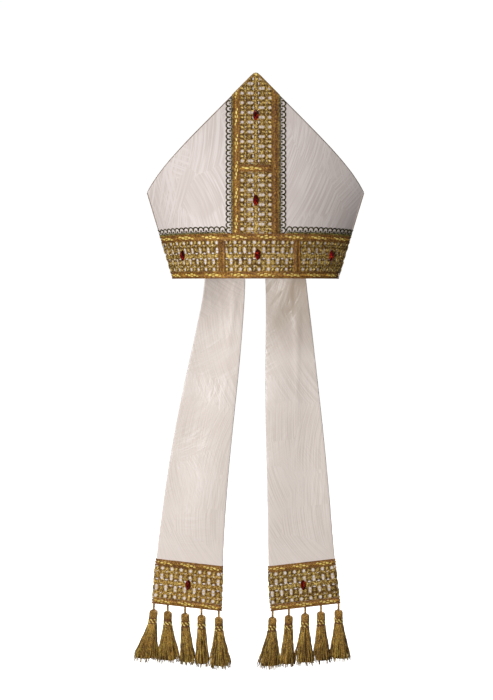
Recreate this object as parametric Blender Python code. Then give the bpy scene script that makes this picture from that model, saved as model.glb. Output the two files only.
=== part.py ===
"""A bishop's mitre: two stiffened cloth panels joined at the sides, a soft fold between their
points, gold bands with red stones, and two lappets with tassels. It is held as a head holds it.

Metres, +Z up, +Y to the back. The origin is the middle of the rim, where the mitre sits on a head.
"""

import math

import bmesh
import bpy
import numpy as np
from mathutils import Matrix, Vector

MM = 0.001

# Panels: two arcs of cloth that meet in a crease at each side, and lean out to the shoulders
RIM_WIDTH = 230 * MM
RIM_DEPTH = 144 * MM
SHOULDER_WIDTH = 301 * MM
SHOULDER_DEPTH = 116 * MM
SHOULDER_HEIGHT = 119 * MM
PEAK_HEIGHT = 277 * MM
PEAK_BLUNT = 4 * MM
EDGE_HOLLOW = 4.3 * MM
WALL = 2.5 * MM

# Clearances: between the two panels, between layers, and between trims side by side
SEAM_GAP = 0.3 * MM
LAYER_GAP = 0.35 * MM
SIDE_GAP = 0.3 * MM

# Trims: the band round the rim, the upright on each panel, and the looped edging beside them
BAND_HEIGHT = 60.6 * MM
BRAID_WIDTH = 9.4 * MM
BRAID_THICK = 1.2 * MM
LACE_THICK = 0.9 * MM
UPRIGHT_WIDTH = 62 * MM
CROSSBAR_CLIMB = 149 * MM
DIVIDER_REACH = 51 * MM
DIVIDER_SHIFT = 5 * MM
EDGING_WIDTH = 9.6 * MM
EDGING_ROOT = 6 * MM
EDGING_PITCH = 7.5 * MM
EDGING_THICK = 0.8 * MM
TRIM_SETBACK = 0.4 * MM

# Lace: a strip pierced on alternate sides of its spine
LACE_PITCH = 13.4 * MM
HOLE_LENGTH = 9 * MM
HOLE_WIDTH = 5.5 * MM
HOLE_OFFSET = 7.5 * MM

# Stones. Those and the dividers of the band sit a little to one side, as sewn on
STONE_LENGTH = 15 * MM
STONE_WIDTH = 7.5 * MM
STONE_GIRDLE = 1 * MM
STONE_CROWN = 2.4 * MM
STONE_TABLE_SHARE = 0.55
STONE_POINT_SHARPNESS = 0.45
STONE_SIDES = 8
UPRIGHT_STONE_CLIMBS = (105.5 * MM, 221.5 * MM)
BAND_STONE_CLIMB = 32 * MM
BAND_STONE_REACH = 111 * MM
BAND_STONE_SHIFT = 2.3 * MM

# The soft fold between the two panels
FOLD_THICK = 1.2 * MM
FOLD_SETBACK = 1.5 * MM
FOLD_END_SHARE = 0.94
FOLD_SAG = 10 * MM
FOLD_FULLNESS = 1.5
FOLD_WAVES = 3
FOLD_WAVE_DEPTH = 2.5 * MM

# Lappets, hanging from the inside of the back rim
LAPPET_TUCK = 18 * MM
LAPPET_LENGTH = 480 * MM
LAPPET_WIDTH = 100.5 * MM
LAPPET_THICK = 1.8 * MM
LAPPET_REACH = 44.6 * MM
LAPPET_HANG_DEPTH = 62 * MM
LAPPET_FREE_DROP = 90 * MM
LAPPET_TILT = math.radians(6.6)
LAPPET_BAND_HEIGHT = 66 * MM
# Down a lappet: drop is a share of its length, width a share of its full width, and the swings
# away from the middle of the hat are shares of its length
LAPPET_STATIONS = (
    {"drop": 0.00, "width": 0.590, "left_swing": 0.000, "right_swing": 0.000},
    {"drop": 0.14, "width": 0.650, "left_swing": 0.015, "right_swing": 0.008},
    {"drop": 0.24, "width": 0.715, "left_swing": 0.027, "right_swing": 0.012},
    {"drop": 0.37, "width": 0.780, "left_swing": 0.049, "right_swing": 0.020},
    {"drop": 0.51, "width": 0.838, "left_swing": 0.071, "right_swing": 0.029},
    {"drop": 0.65, "width": 0.885, "left_swing": 0.086, "right_swing": 0.037},
    {"drop": 0.78, "width": 0.940, "left_swing": 0.100, "right_swing": 0.044},
    {"drop": 0.90, "width": 0.975, "left_swing": 0.110, "right_swing": 0.051},
    {"drop": 1.00, "width": 1.000, "left_swing": 0.115, "right_swing": 0.061},
)

# Tassels
TASSEL_LENGTH = 83 * MM
TASSEL_CORD_RADIUS = 1.3 * MM
TASSEL_HEAD_RADIUS = 5.5 * MM
TASSEL_COLLAR_RADIUS = 6.1 * MM
TASSEL_SKIRT_DEPTH = 24 * MM
TASSEL_SIDES = 10
TASSEL_LOCK_DEPTH = 0.16
# Down a tassel: drop is a share of its length, cord, head, collar and skirt are shares of those
# radii that add up to the form there, and swing is the share of its lean that is taken up there
TASSEL_PROFILE = (
    {"drop": 0.000, "cord": 1.0, "head": 0.00, "collar": 0.0, "skirt": 0.00, "swing": 0.00},
    {"drop": 0.115, "cord": 1.0, "head": 0.00, "collar": 0.0, "skirt": 0.00, "swing": 0.03},
    {"drop": 0.145, "cord": 0.0, "head": 0.90, "collar": 0.0, "skirt": 0.00, "swing": 0.04},
    {"drop": 0.220, "cord": 0.0, "head": 1.00, "collar": 0.0, "skirt": 0.00, "swing": 0.08},
    {"drop": 0.230, "cord": 0.0, "head": 0.00, "collar": 1.0, "skirt": 0.00, "swing": 0.10},
    {"drop": 0.360, "cord": 0.0, "head": 0.00, "collar": 1.0, "skirt": 0.00, "swing": 0.18},
    {"drop": 0.375, "cord": 0.0, "head": 0.92, "collar": 0.0, "skirt": 0.08, "swing": 0.20},
    {"drop": 0.650, "cord": 0.0, "head": 0.52, "collar": 0.0, "skirt": 0.48, "swing": 0.52},
    {"drop": 1.000, "cord": 0.0, "head": 0.00, "collar": 0.0, "skirt": 1.00, "swing": 1.00},
)
# place is a share of the lappet's end from its left corner; middle is how far the foot of the
# skirt lies to the right of its cord, and spread how wide it is, both as shares of the spacing
LEFT_TASSELS = (
    {"place": 0.020, "middle": -0.55, "spread": 1.33},
    {"place": 0.220, "middle": 0.00, "spread": 1.26},
    {"place": 0.472, "middle": 0.15, "spread": 0.84},
    {"place": 0.712, "middle": 0.03, "spread": 0.75},
    {"place": 0.963, "middle": 0.08, "spread": 1.18},
)
RIGHT_TASSELS = (
    {"place": 0.020, "middle": -0.20, "spread": 1.25},
    {"place": 0.257, "middle": -0.12, "spread": 0.78},
    {"place": 0.496, "middle": -0.09, "spread": 1.09},
    {"place": 0.724, "middle": 0.06, "spread": 0.95},
    {"place": 0.980, "middle": 0.09, "spread": 1.12},
)

# How finely the cloth is divided
PANEL_COLUMNS = 24
PANEL_LOWER_ROWS = 5
PANEL_UPPER_ROWS = 3
UPRIGHT_ROWS = 5
CROSSBAR_COLUMNS = 4
FOLD_COLUMNS = 16
FOLD_ROWS = 6
LAPPET_COLUMNS = 4
CURVE_SAMPLES = 181
PROBE = 0.5 * MM

FRONT, BACK = 1, -1
LEFT, RIGHT = -1, 1
HANDS = {"left": LEFT, "right": RIGHT}
SIDES = {"front": FRONT, "back": BACK}

# Where the trims lie, worked out from the sizes above
ON_CLOTH = (LAYER_GAP, LAYER_GAP + BRAID_THICK)
LACE_LAYER = (LAYER_GAP, LAYER_GAP + LACE_THICK)
ON_LACE = (LACE_LAYER[1] + LAYER_GAP, LACE_LAYER[1] + LAYER_GAP + BRAID_THICK)
EDGING_LAYER = (LAYER_GAP, LAYER_GAP + EDGING_THICK)
BAND_LACE = (BRAID_WIDTH + SIDE_GAP, BAND_HEIGHT - BRAID_WIDTH - SIDE_GAP)
UPRIGHT_FOOT = BAND_HEIGHT + SIDE_GAP
UPRIGHT_LACE_REACH = UPRIGHT_WIDTH / 2 - BRAID_WIDTH - SIDE_GAP
EDGING_START = UPRIGHT_WIDTH / 2 + SIDE_GAP
BAND_EDGING_START = EDGING_START + EDGING_WIDTH + SIDE_GAP
LAPPET_BAND_TOP = LAPPET_LENGTH - LAPPET_BAND_HEIGHT
LAPPET_LACE = (LAPPET_BAND_TOP + BRAID_WIDTH + SIDE_GAP, LAPPET_LENGTH - BRAID_WIDTH - SIDE_GAP)


def clear_scene():
    for item in list(bpy.data.objects):
        bpy.data.objects.remove(item)


def finish(name, color, roughness, metallic=0.0):
    made = bpy.data.materials.new(name)
    made.use_nodes = True
    shader = made.node_tree.nodes["Principled BSDF"]
    shader.inputs["Base Color"].default_value = (*color, 1.0)
    shader.inputs["Roughness"].default_value = roughness
    shader.inputs["Metallic"].default_value = metallic
    return made


def add_object(name, bm, material):
    """The finished mesh as a named object with outward faces."""
    bmesh.ops.recalc_face_normals(bm, faces=bm.faces[:])
    mesh = bpy.data.meshes.new(name)
    bm.to_mesh(mesh)
    bm.free()
    mesh.shade_smooth()
    mesh.set_sharp_from_angle(angle=math.radians(35))
    mesh.materials.append(material)
    made = bpy.data.objects.new(name, mesh)
    bpy.context.scene.collection.objects.link(made)


def spaced(low, high, steps):
    return [low + (high - low) * step / steps for step in range(steps + 1)]


def smooth(share):
    share = min(max(share, 0.0), 1.0)
    return share * share * (3 - 2 * share)


def half_arc(width, depth):
    """Half of a panel's arc, from its middle to the crease at the side seam: the shares of its
    length, the coordinates there, and its whole length."""
    half, bow = width / 2, depth / 2
    radius = (half**2 + bow**2) / (2 * bow)
    turn = np.linspace(0, math.asin(half / radius), CURVE_SAMPLES)
    x, y = radius * np.sin(turn), bow - radius * (1 - np.cos(turn))
    return turn / turn[-1], x, y, radius * turn[-1]


RIM = half_arc(RIM_WIDTH, RIM_DEPTH)
SHOULDER = half_arc(SHOULDER_WIDTH, SHOULDER_DEPTH)


def half_girth(climb):
    """The cloth from the middle of a panel to its seam line, at a climb up the cloth."""
    return RIM[3] + (SHOULDER[3] - RIM[3]) * climb / SHOULDER_HEIGHT


def cloth_line(share):
    """The straight line of cloth at a share of the half girth: its foot at the rim, and its top."""
    ends = []
    for (shares, x, y, _), height in ((RIM, 0), (SHOULDER, SHOULDER_HEIGHT)):
        across = float(np.interp(abs(share), shares, x))
        ends.append(Vector((math.copysign(across, share), -np.interp(abs(share), shares, y), height)))
    return ends


def cloth_point(share, climb):
    foot, top = cloth_line(share)
    return foot + (top - foot).normalized() * climb


def climb_of(height, share):
    """How far up a line of cloth a height lies."""
    foot, top = cloth_line(share)
    return height / (top - foot).normalized().z


def on_panel(share, climb, out, side, seam=0.0):
    """A point at a distance out from a panel's outer face. At the seam it slides along the cloth
    to the seam's plane."""
    inner = share - math.copysign(PROBE / RIM[3], share)
    along = (cloth_point(share, climb) - cloth_point(inner, climb)) * math.copysign(1, share)
    up = cloth_point(share, climb + PROBE) - cloth_point(share, climb)
    point = cloth_point(share, climb) + along.cross(up).normalized() * out
    if math.isclose(abs(share), 1.0):
        point -= along * ((point.y + seam) / along.y)
    return Vector((point.x * side, point.y * side, point.z))


def on_cloth(across, climb, out, side):
    """The same, at a distance across the cloth from the panel's middle line."""
    return on_panel(across / half_girth(climb), climb, out, side)


SHOULDER_CLIMB = climb_of(SHOULDER_HEIGHT, 1.0)
PEAK_CLIMB = climb_of(PEAK_HEIGHT, 0.0)


def edge_reach(climb):
    """Half the width of a panel's cloth above the shoulders. Its sloping edges are cut a little
    hollow, and look nearly straight on the bent panel."""
    rise = min((climb - SHOULDER_CLIMB) / (PEAK_CLIMB - SHOULDER_CLIMB), 1.0)
    straight = half_girth(SHOULDER_CLIMB) * (1 - rise) + PEAK_BLUNT / 2 * rise
    return straight - EDGE_HOLLOW * math.sin(math.pi * rise)


def edge_climb(across):
    """How far up the sloping edge is at a distance from the middle line."""
    climbs = np.linspace(PEAK_CLIMB, SHOULDER_CLIMB, CURVE_SAMPLES)
    return float(np.interp(abs(across), [edge_reach(climb) for climb in climbs], climbs))


def slab(name, columns, rows, place, layer, material, hole=None, welded=False):
    """One piece of cloth or trim: a plan of columns by rows, laid by place(column, row, out) and
    given its thickness between the two levels of its layer. Where the plan is pierced, each
    column of cloth between holes stays one face. Where it is welded, edges that meet are joined."""
    bm = bmesh.new()
    plan = bm.verts.layers.float_vector.new("plan")
    bmesh.ops.create_grid(bm, x_segments=len(columns) - 1, y_segments=len(rows) - 1, size=1)
    for vert in bm.verts:
        column = round((vert.co.x + 1) / 2 * (len(columns) - 1))
        row = round((vert.co.y + 1) / 2 * (len(rows) - 1))
        vert[plan] = (columns[column], rows[row], 0)
        vert.co = vert[plan]
    if hole:
        pierced = [face for face in bm.faces if hole(*face.calc_center_median().xy)]
        bmesh.ops.delete(bm, geom=pierced, context="FACES")
        level = [edge for edge in bm.edges if len(edge.link_faces) == 2
                 and math.isclose(edge.verts[0].co.y, edge.verts[1].co.y)]
        bmesh.ops.dissolve_edges(bm, edges=level, use_verts=True)
    for vert in bm.verts:
        vert.co = place(vert[plan].x, vert[plan].y, layer[0])
    if welded:
        bmesh.ops.remove_doubles(bm, verts=bm.verts[:], dist=SIDE_GAP / 10)
    grown = bmesh.ops.extrude_face_region(bm, geom=bm.faces[:])
    for vert in grown["geom"]:
        if isinstance(vert, bmesh.types.BMVert):
            vert.co = place(vert[plan].x, vert[plan].y, layer[1])
    add_object(name, bm, material)


def build_panel(name, side, material):
    """Front or back: a wall of even thickness. Rows 0 to 1 rise to the shoulders, with their seam
    edges cut to the seam's plane, and rows 1 to 2 go on to the sloping edges."""
    reach = half_girth(SHOULDER_CLIMB)

    def place(column, row, out):
        if row <= 1 or abs(column) == 1:
            return on_panel(column, SHOULDER_CLIMB * min(row, 1), out, side, seam=SEAM_GAP / 2)
        rise = (edge_climb(column * reach) - SHOULDER_CLIMB) * (row - 1)
        return on_cloth(column * reach, SHOULDER_CLIMB + rise, out, side)

    rows = spaced(0, 1, PANEL_LOWER_ROWS) + spaced(1, 2, PANEL_UPPER_ROWS)[1:]
    slab(name, spaced(-1, 1, PANEL_COLUMNS), rows, place, (-WALL, 0), material, welded=True)


def build_fold(name, material):
    """The soft cloth between the sloping edges of both panels, sunk in a valley between the points."""
    end = FOLD_END_SHARE * half_girth(SHOULDER_CLIMB)
    inside = -(WALL + LAYER_GAP + FOLD_THICK)

    def place(column, row, down):
        across = column * end
        edge = on_cloth(across, edge_climb(across) - FOLD_SETBACK, inside, FRONT)
        valley = SHOULDER_HEIGHT - FOLD_SAG * (1 - column**2)
        wave = FOLD_WAVE_DEPTH * math.cos(math.pi * FOLD_WAVES * column) * (1 - column**2)
        height = valley + (edge.z - valley) * abs(row) ** FOLD_FULLNESS + wave * (1 - row**2)
        steep = FOLD_FULLNESS * abs(row) ** (FOLD_FULLNESS - 1) * (edge.z - valley) / abs(edge.y)
        lean = Vector((0, math.copysign(steep, row), -1)).normalized()
        return Vector((edge.x, abs(edge.y) * row, height)) + lean * down

    columns, rows = spaced(-1, 1, FOLD_COLUMNS), spaced(-1, 1, FOLD_ROWS)
    slab(name, columns, rows, place, (0, FOLD_THICK), material)


def place_round(turn, climb, out):
    """A point on the band, for a share of the way round it from the middle of the front."""
    quarters = (turn % 1.0) * 4
    if quarters <= 1:
        return on_panel(quarters, climb, out, FRONT)
    if quarters <= 3:
        return on_panel(quarters - 2, climb, out, BACK)
    return on_panel(quarters - 4, climb, out, FRONT)


def build_band_braid(name, foot, material):
    turns = spaced(0, 1, PANEL_COLUMNS * 2)
    slab(name, turns, (foot, foot + BRAID_WIDTH), place_round, ON_CLOTH, material, welded=True)


def pierced_rows(low, high):
    """The levels across a lace strip: its edges and the two lines of holes beside its spine."""
    middle = (low + high) / 2
    steps = (HOLE_OFFSET + HOLE_WIDTH / 2, HOLE_OFFSET - HOLE_WIDTH / 2)
    below = [middle - step for step in steps]
    above = [middle + step for step in reversed(steps)]
    return [low, *below, *above, high]


def in_hole(along, across, pitch):
    """Whether a point of a lace strip is in a hole: one to each pitch, on alternate sides."""
    repeat = math.floor(along / pitch)
    near = abs(along / pitch - repeat - 0.5) < HOLE_LENGTH / LACE_PITCH / 2
    return near and abs(across * (-1) ** repeat - HOLE_OFFSET) < HOLE_WIDTH / 2


def hole_edges(start, pitch, count):
    half = HOLE_LENGTH / LACE_PITCH / 2
    return [start + pitch * (repeat + 0.5 + side * half) for repeat in range(count) for side in (-1, 1)]


def build_band_lace(name, material):
    """The lace ring, with a whole number of repeats and a bar of lace at each side seam."""
    low, high = BAND_LACE
    middle = (low + high) / 2
    count = 4 * round(half_girth(middle) / LACE_PITCH - 0.5) + 2
    pitch = 1 / count
    start = pitch / 2
    turns = sorted([start, 0.25, 0.75, 1 + start] + hole_edges(start, pitch, count))

    def hole(turn, climb):
        return in_hole(turn - start, climb - middle, pitch)

    slab(name, turns, pierced_rows(low, high), place_round, LACE_LAYER, material, hole, welded=True)


def build_upright(label, side, lace, braid, edging):
    """The upright on one panel: lace between two braids, a crossbar, and looped edging outside."""

    def place(across, climb, out):
        return on_cloth(across, min(climb, edge_climb(across) - TRIM_SETBACK), out, side)

    side_climb = edge_climb(UPRIGHT_LACE_REACH) - TRIM_SETBACK
    count = int((side_climb - UPRIGHT_FOOT) / LACE_PITCH)
    climbs = [UPRIGHT_FOOT] + hole_edges(UPRIGHT_FOOT, LACE_PITCH, count) + [PEAK_CLIMB]
    columns = sorted(pierced_rows(-UPRIGHT_LACE_REACH, UPRIGHT_LACE_REACH) + [0])

    def hole(across, climb):
        return in_hole(climb - UPRIGHT_FOOT, across, LACE_PITCH)

    slab(f"upright_lace_{label}", columns, climbs, place, LACE_LAYER, lace, hole)
    slab(f"upright_crossbar_{label}", spaced(-UPRIGHT_LACE_REACH, UPRIGHT_LACE_REACH, CROSSBAR_COLUMNS),
         (CROSSBAR_CLIMB - BRAID_WIDTH / 2, CROSSBAR_CLIMB + BRAID_WIDTH / 2), place, ON_LACE, braid)
    for hand, sign in HANDS.items():
        inner = sign * side * (UPRIGHT_WIDTH / 2 - BRAID_WIDTH)
        outer = sign * side * UPRIGHT_WIDTH / 2
        rise = [UPRIGHT_FOOT + (PEAK_CLIMB - UPRIGHT_FOOT) * step for step in spaced(0, 1, UPRIGHT_ROWS)]

        def place_braid(across, climb, out):
            top = edge_climb(across) - TRIM_SETBACK
            share = (climb - UPRIGHT_FOOT) / (PEAK_CLIMB - UPRIGHT_FOOT)
            return on_cloth(across, UPRIGHT_FOOT + (top - UPRIGHT_FOOT) * share, out, side)

        slab(f"upright_braid_{label}_{hand}", (inner, outer), rise, place_braid, ON_CLOTH, braid)
        build_upright_edging(f"upright_edging_{label}_{hand}", sign * side, side, edging)


def scallop(phase):
    """The width of the edging at a phase along its loops: whole at a loop, narrow between two."""
    return EDGING_ROOT + (EDGING_WIDTH - EDGING_ROOT) * (1 - abs(2 * (phase % 1) - 1))


def build_upright_edging(name, sign, side, material):
    top = edge_climb(EDGING_START + EDGING_WIDTH) - TRIM_SETBACK
    loops = round((top - UPRIGHT_FOOT) / EDGING_PITCH)

    def place(width, phase, out):
        across = sign * (EDGING_START + width * scallop(phase))
        return on_cloth(across, UPRIGHT_FOOT + (top - UPRIGHT_FOOT) * phase / loops, out, side)

    slab(name, (0, 1), spaced(0, loops, loops * 2), place, EDGING_LAYER, material)


def build_band_edging(name, sign, material):
    """Looped edging on top of the band, from beside the front upright round to the back one."""
    start = BAND_EDGING_START / half_girth(UPRIGHT_FOOT)
    loops = round((1 - start) * half_girth(UPRIGHT_FOOT) / EDGING_PITCH)

    def place(phase, width, out):
        side = FRONT if phase <= loops else BACK
        share = start + (1 - start) * (phase if side == FRONT else 2 * loops - phase) / loops
        return on_panel(sign * side * share, UPRIGHT_FOOT + width * scallop(phase), out, side)

    slab(name, spaced(0, loops * 2, loops * 4), (0, 1), place, EDGING_LAYER, material)


def next_ring(bm, ring):
    """The ring that grows from an open ring of vertices, where it still lies on the old one."""
    edges = [edge for edge in bm.edges if edge.verts[0] in ring and edge.verts[1] in ring]
    grown = bmesh.ops.extrude_edge_only(bm, edges=edges)["geom"]
    return [vert for vert in grown if isinstance(vert, bmesh.types.BMVert)]


def build_stone(name, place, column, row, material):
    """A pointed oval stone with a flat table, lying on its trim at a column and row."""
    floor = LACE_LAYER[1] + LAYER_GAP
    seat = place(column, row, floor)
    out = (place(column, row, floor + PROBE) - seat).normalized()
    along = (place(column, row + PROBE, floor) - seat).normalized()
    bm = bmesh.new()
    bmesh.ops.create_circle(bm, segments=STONE_SIDES, radius=1)
    ring = bm.verts[:]
    for vert in ring:
        narrow = abs(vert.co.x) ** STONE_POINT_SHARPNESS
        vert.co = (vert.co.x * narrow * STONE_WIDTH / 2, vert.co.y * STONE_LENGTH / 2, 0)
    for rise, share in ((STONE_GIRDLE, 1), (STONE_CROWN, STONE_TABLE_SHARE)):
        ring = next_ring(bm, ring)
        bmesh.ops.scale(bm, vec=(share, share, 1), verts=ring)
        bmesh.ops.translate(bm, vec=(0, 0, rise), verts=ring)
    bmesh.ops.holes_fill(bm, edges=bm.edges[:], sides=0)
    turned = Matrix((along.cross(out), along, out)).transposed().to_4x4()
    bmesh.ops.transform(bm, matrix=Matrix.Translation(seat) @ turned, verts=bm.verts)
    add_object(name, bm, material)


def lappet_line(hand, drop):
    """The middle, width and slope of the line across a lappet at a drop below the rim."""
    drops = [station["drop"] for station in LAPPET_STATIONS]
    swings = [station["left_swing" if hand == LEFT else "right_swing"] for station in LAPPET_STATIONS]
    widths = [station["width"] for station in LAPPET_STATIONS]
    share = drop / LAPPET_LENGTH
    middle = LAPPET_REACH + LAPPET_LENGTH * np.interp(share, drops, swings)
    slope = math.tan(LAPPET_TILT * smooth(2 * share))
    return hand * middle, LAPPET_WIDTH * np.interp(share, drops, widths), hand * slope


def lappet_face(hand, share, drop):
    """A point on a lappet's back face. Inside the rim it follows the back panel, and below the
    rim it settles into a flat hanging sheet."""
    middle, width, slope = lappet_line(hand, drop)
    start, full, _ = lappet_line(hand, 0)
    rim_x = start + share * full / 2
    across = -math.copysign(RIM[3] * np.interp(abs(rim_x), RIM[1], RIM[0]), rim_x)
    rim = on_cloth(across, max(-drop, 0), -WALL - LAYER_GAP, BACK)
    settled = smooth(drop / LAPPET_FREE_DROP)
    sideways = share * width / 2
    x = middle + sideways + (rim.x - rim_x) * (1 - settled)
    if drop < 0:
        return rim
    y = rim.y + (LAPPET_HANG_DEPTH - rim.y) * settled
    return Vector((x, y, rim.z * (1 - settled) - drop + sideways * slope))


def on_lappet(hand, share, drop, out):
    point = lappet_face(hand, share, drop)
    along = lappet_face(hand, share + PROBE / LAPPET_WIDTH, drop) - point
    down = lappet_face(hand, share, drop + PROBE) - point
    return point + along.cross(down).normalized() * out


def round_lappet(hand, turn, drop, out):
    """A point on a sleeve round a lappet: turns -1 to 1 cross its front face, 2 to 4 come back
    across its back face, and 5 is the start again."""
    share = turn if turn <= 1 else 3 - turn
    if turn > 4:
        share, turn = -1, -1
    wider = 1 + 2 * out / lappet_line(hand, drop)[1]
    return on_lappet(hand, share * wider, drop, -LAPPET_THICK - out if turn <= 1 else out)


def build_lappet(label, hand, cloth, lace, braid, stone):
    """A lappet with a braid, lace and braid wrapped round its end, and a stone on each face."""
    free = [LAPPET_FREE_DROP * share for share in (0.12, 0.3, 0.5)]
    rows = [-LAPPET_TUCK, 0] + free + [station["drop"] * LAPPET_LENGTH for station in LAPPET_STATIONS[1:]]

    def place(share, drop, out):
        return on_lappet(hand, share, drop, out)

    def place_sleeve(turn, drop, out):
        return round_lappet(hand, turn, drop, out)

    slab(f"lappet_{label}", spaced(-1, 1, LAPPET_COLUMNS), rows, place, (-LAPPET_THICK, 0), cloth)
    low, high = LAPPET_LACE
    count = round(LAPPET_WIDTH / LACE_PITCH)
    pitch = 2 / count
    front = hole_edges(-1, pitch, count)
    turns = [-1, *front, 1, 2, *[edge + 3 for edge in front], 4, 5]

    def hole(turn, drop):
        share = turn if turn <= 1 else turn - 3
        return abs(share) <= 1 and in_hole(share + 1, drop - (low + high) / 2, pitch)

    slab(f"lappet_lace_{label}", turns, pierced_rows(low, high), place_sleeve, LACE_LAYER, lace, hole,
         welded=True)
    for part, foot in (("upper", LAPPET_BAND_TOP), ("lower", LAPPET_LENGTH - BRAID_WIDTH)):
        slab(f"lappet_braid_{label}_{part}", (-1, 1, 2, 4, 5), (foot, foot + BRAID_WIDTH), place_sleeve,
             ON_CLOTH, braid, welded=True)
    for side, turn in (("front", 0), ("back", 3)):
        build_stone(f"lappet_stone_{label}_{side}", place_sleeve, turn, (low + high) / 2, stone)


def build_tassel(name, hand, row, material):
    """A cord, a round head, a wound collar and a skirt in locks, fused in one body."""
    spacing = LAPPET_WIDTH / (len(LEFT_TASSELS) - 1)
    top = on_lappet(hand, 2 * row["place"] - 1, LAPPET_LENGTH + SIDE_GAP, -LAPPET_THICK / 2)
    bm = bmesh.new()
    circle = bm.verts.layers.float_vector.new("circle")
    bmesh.ops.create_circle(bm, segments=TASSEL_SIDES, radius=1)
    bm.verts.ensure_lookup_table()
    for index, vert in enumerate(bm.verts):
        vert[circle] = (vert.co.x, vert.co.y, index % 2)
    ring = bm.verts[:]
    for station in TASSEL_PROFILE:
        if station["drop"] > 0:
            ring = next_ring(bm, ring)
        stem = (station["cord"] * TASSEL_CORD_RADIUS + station["head"] * TASSEL_HEAD_RADIUS
                + station["collar"] * TASSEL_COLLAR_RADIUS)
        wide = stem + station["skirt"] * row["spread"] * spacing / 2
        deep = stem + station["skirt"] * TASSEL_SKIRT_DEPTH / 2
        lean = Vector((row["middle"] * spacing * station["swing"], 0, -station["drop"] * TASSEL_LENGTH))
        for vert in ring:
            lock = 1 - TASSEL_LOCK_DEPTH * station["skirt"] * vert[circle].z
            vert.co = top + lean + Vector((vert[circle].x * wide * lock, vert[circle].y * deep * lock, 0))
    bmesh.ops.holes_fill(bm, edges=bm.edges[:], sides=0)
    add_object(name, bm, material)


def build_band(lace, braid, edging, stone):
    build_band_lace("band_lace", lace)
    build_band_braid("band_braid_bottom", 0, braid)
    build_band_braid("band_braid_top", BAND_HEIGHT - BRAID_WIDTH, braid)
    for label, side in SIDES.items():

        def place(across, climb, out, side=side):
            return on_cloth(across, climb, out, side)

        build_stone(f"band_stone_{label}_middle", place, BAND_STONE_SHIFT, BAND_STONE_CLIMB, stone)
        for hand, sign in HANDS.items():
            reach = sign * side * DIVIDER_REACH + DIVIDER_SHIFT
            slab(f"band_divider_{label}_{hand}", (reach - BRAID_WIDTH / 2, reach + BRAID_WIDTH / 2),
                 BAND_LACE, place, ON_LACE, braid)
            reach = sign * side * BAND_STONE_REACH + BAND_STONE_SHIFT
            build_stone(f"band_stone_{label}_{hand}", place, reach, BAND_STONE_CLIMB, stone)
        for order, climb in zip(("lower", "upper"), UPRIGHT_STONE_CLIMBS):
            build_stone(f"upright_stone_{label}_{order}", place, 0, climb, stone)
    for hand, sign in HANDS.items():
        build_band_edging(f"band_edging_{hand}", sign, edging)


def main():
    clear_scene()
    cloth = finish("white_damask", (0.80, 0.77, 0.73), 0.55)
    fold_cloth = finish("fold_cloth", (0.78, 0.75, 0.71), 0.6)
    lace = finish("gold_lace", (0.48, 0.36, 0.14), 0.45, 0.5)
    braid = finish("gold_braid", (0.50, 0.30, 0.10), 0.45, 0.5)
    edging = finish("edging_thread", (0.18, 0.17, 0.09), 0.6, 0.2)
    stone = finish("red_stone", (0.30, 0.0, 0.01), 0.08)
    tassel = finish("tassel_thread", (0.42, 0.30, 0.10), 0.5, 0.3)
    build_panel("front_panel", FRONT, cloth)
    build_panel("back_panel", BACK, cloth)
    build_fold("top_fold", fold_cloth)
    build_band(lace, braid, edging, stone)
    for label, side in SIDES.items():
        build_upright(label, side, lace, braid, edging)
    for label, hand in HANDS.items():
        build_lappet(label, hand, cloth, lace, braid, stone)
        for number, row in enumerate(LEFT_TASSELS if hand == LEFT else RIGHT_TASSELS, start=1):
            build_tassel(f"tassel_{label}_{number}", hand, row, tassel)


if __name__ == "__main__":
    main()
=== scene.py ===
"""The looks of a bishop's mitre: white damask panels and lappets, gold lace and braids sewn on
them, looped edging, red stones and gold tassels, in a plain pale studio.

Metres, +Z up, +Y to the back. Each trim is modelled flat, along, across and out from its cloth,
and is then laid on the surface that carries it.
"""

import functools
import math

import bmesh
import bpy
import numpy as np
from bpy.props import FloatProperty, FloatVectorProperty, IntProperty, PointerProperty
from mathutils import Matrix, Vector


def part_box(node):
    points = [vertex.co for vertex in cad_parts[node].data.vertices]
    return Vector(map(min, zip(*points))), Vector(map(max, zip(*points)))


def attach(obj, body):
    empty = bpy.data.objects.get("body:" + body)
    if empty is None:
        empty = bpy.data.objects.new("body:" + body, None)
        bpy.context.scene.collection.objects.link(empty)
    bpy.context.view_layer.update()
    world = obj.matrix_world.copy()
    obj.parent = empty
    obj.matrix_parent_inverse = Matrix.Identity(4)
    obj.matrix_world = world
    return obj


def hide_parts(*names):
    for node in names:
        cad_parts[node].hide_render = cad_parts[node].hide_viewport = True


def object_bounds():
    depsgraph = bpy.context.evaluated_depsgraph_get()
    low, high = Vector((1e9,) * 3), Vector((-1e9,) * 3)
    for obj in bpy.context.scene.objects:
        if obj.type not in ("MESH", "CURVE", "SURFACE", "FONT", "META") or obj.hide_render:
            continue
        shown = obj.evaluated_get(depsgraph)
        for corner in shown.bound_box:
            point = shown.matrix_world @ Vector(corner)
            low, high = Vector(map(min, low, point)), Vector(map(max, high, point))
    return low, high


bl_info = {
    "name": "Bishop's mitre",
    "version": (1, 0, 0),
    "blender": (4, 5, 0),
    "location": "View3D > Sidebar > Mitre",
    "description": "Dresses a bishop's mitre in damask, gold lace, braid, stones and tassels",
    "category": "Object",
}

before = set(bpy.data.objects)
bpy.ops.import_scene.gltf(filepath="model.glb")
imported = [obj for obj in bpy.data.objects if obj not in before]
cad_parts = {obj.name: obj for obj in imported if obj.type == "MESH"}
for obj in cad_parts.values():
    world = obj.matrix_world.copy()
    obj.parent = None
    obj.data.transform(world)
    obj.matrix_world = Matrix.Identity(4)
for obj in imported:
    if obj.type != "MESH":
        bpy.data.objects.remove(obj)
CAD_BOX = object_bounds()

MM = 0.001

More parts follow.
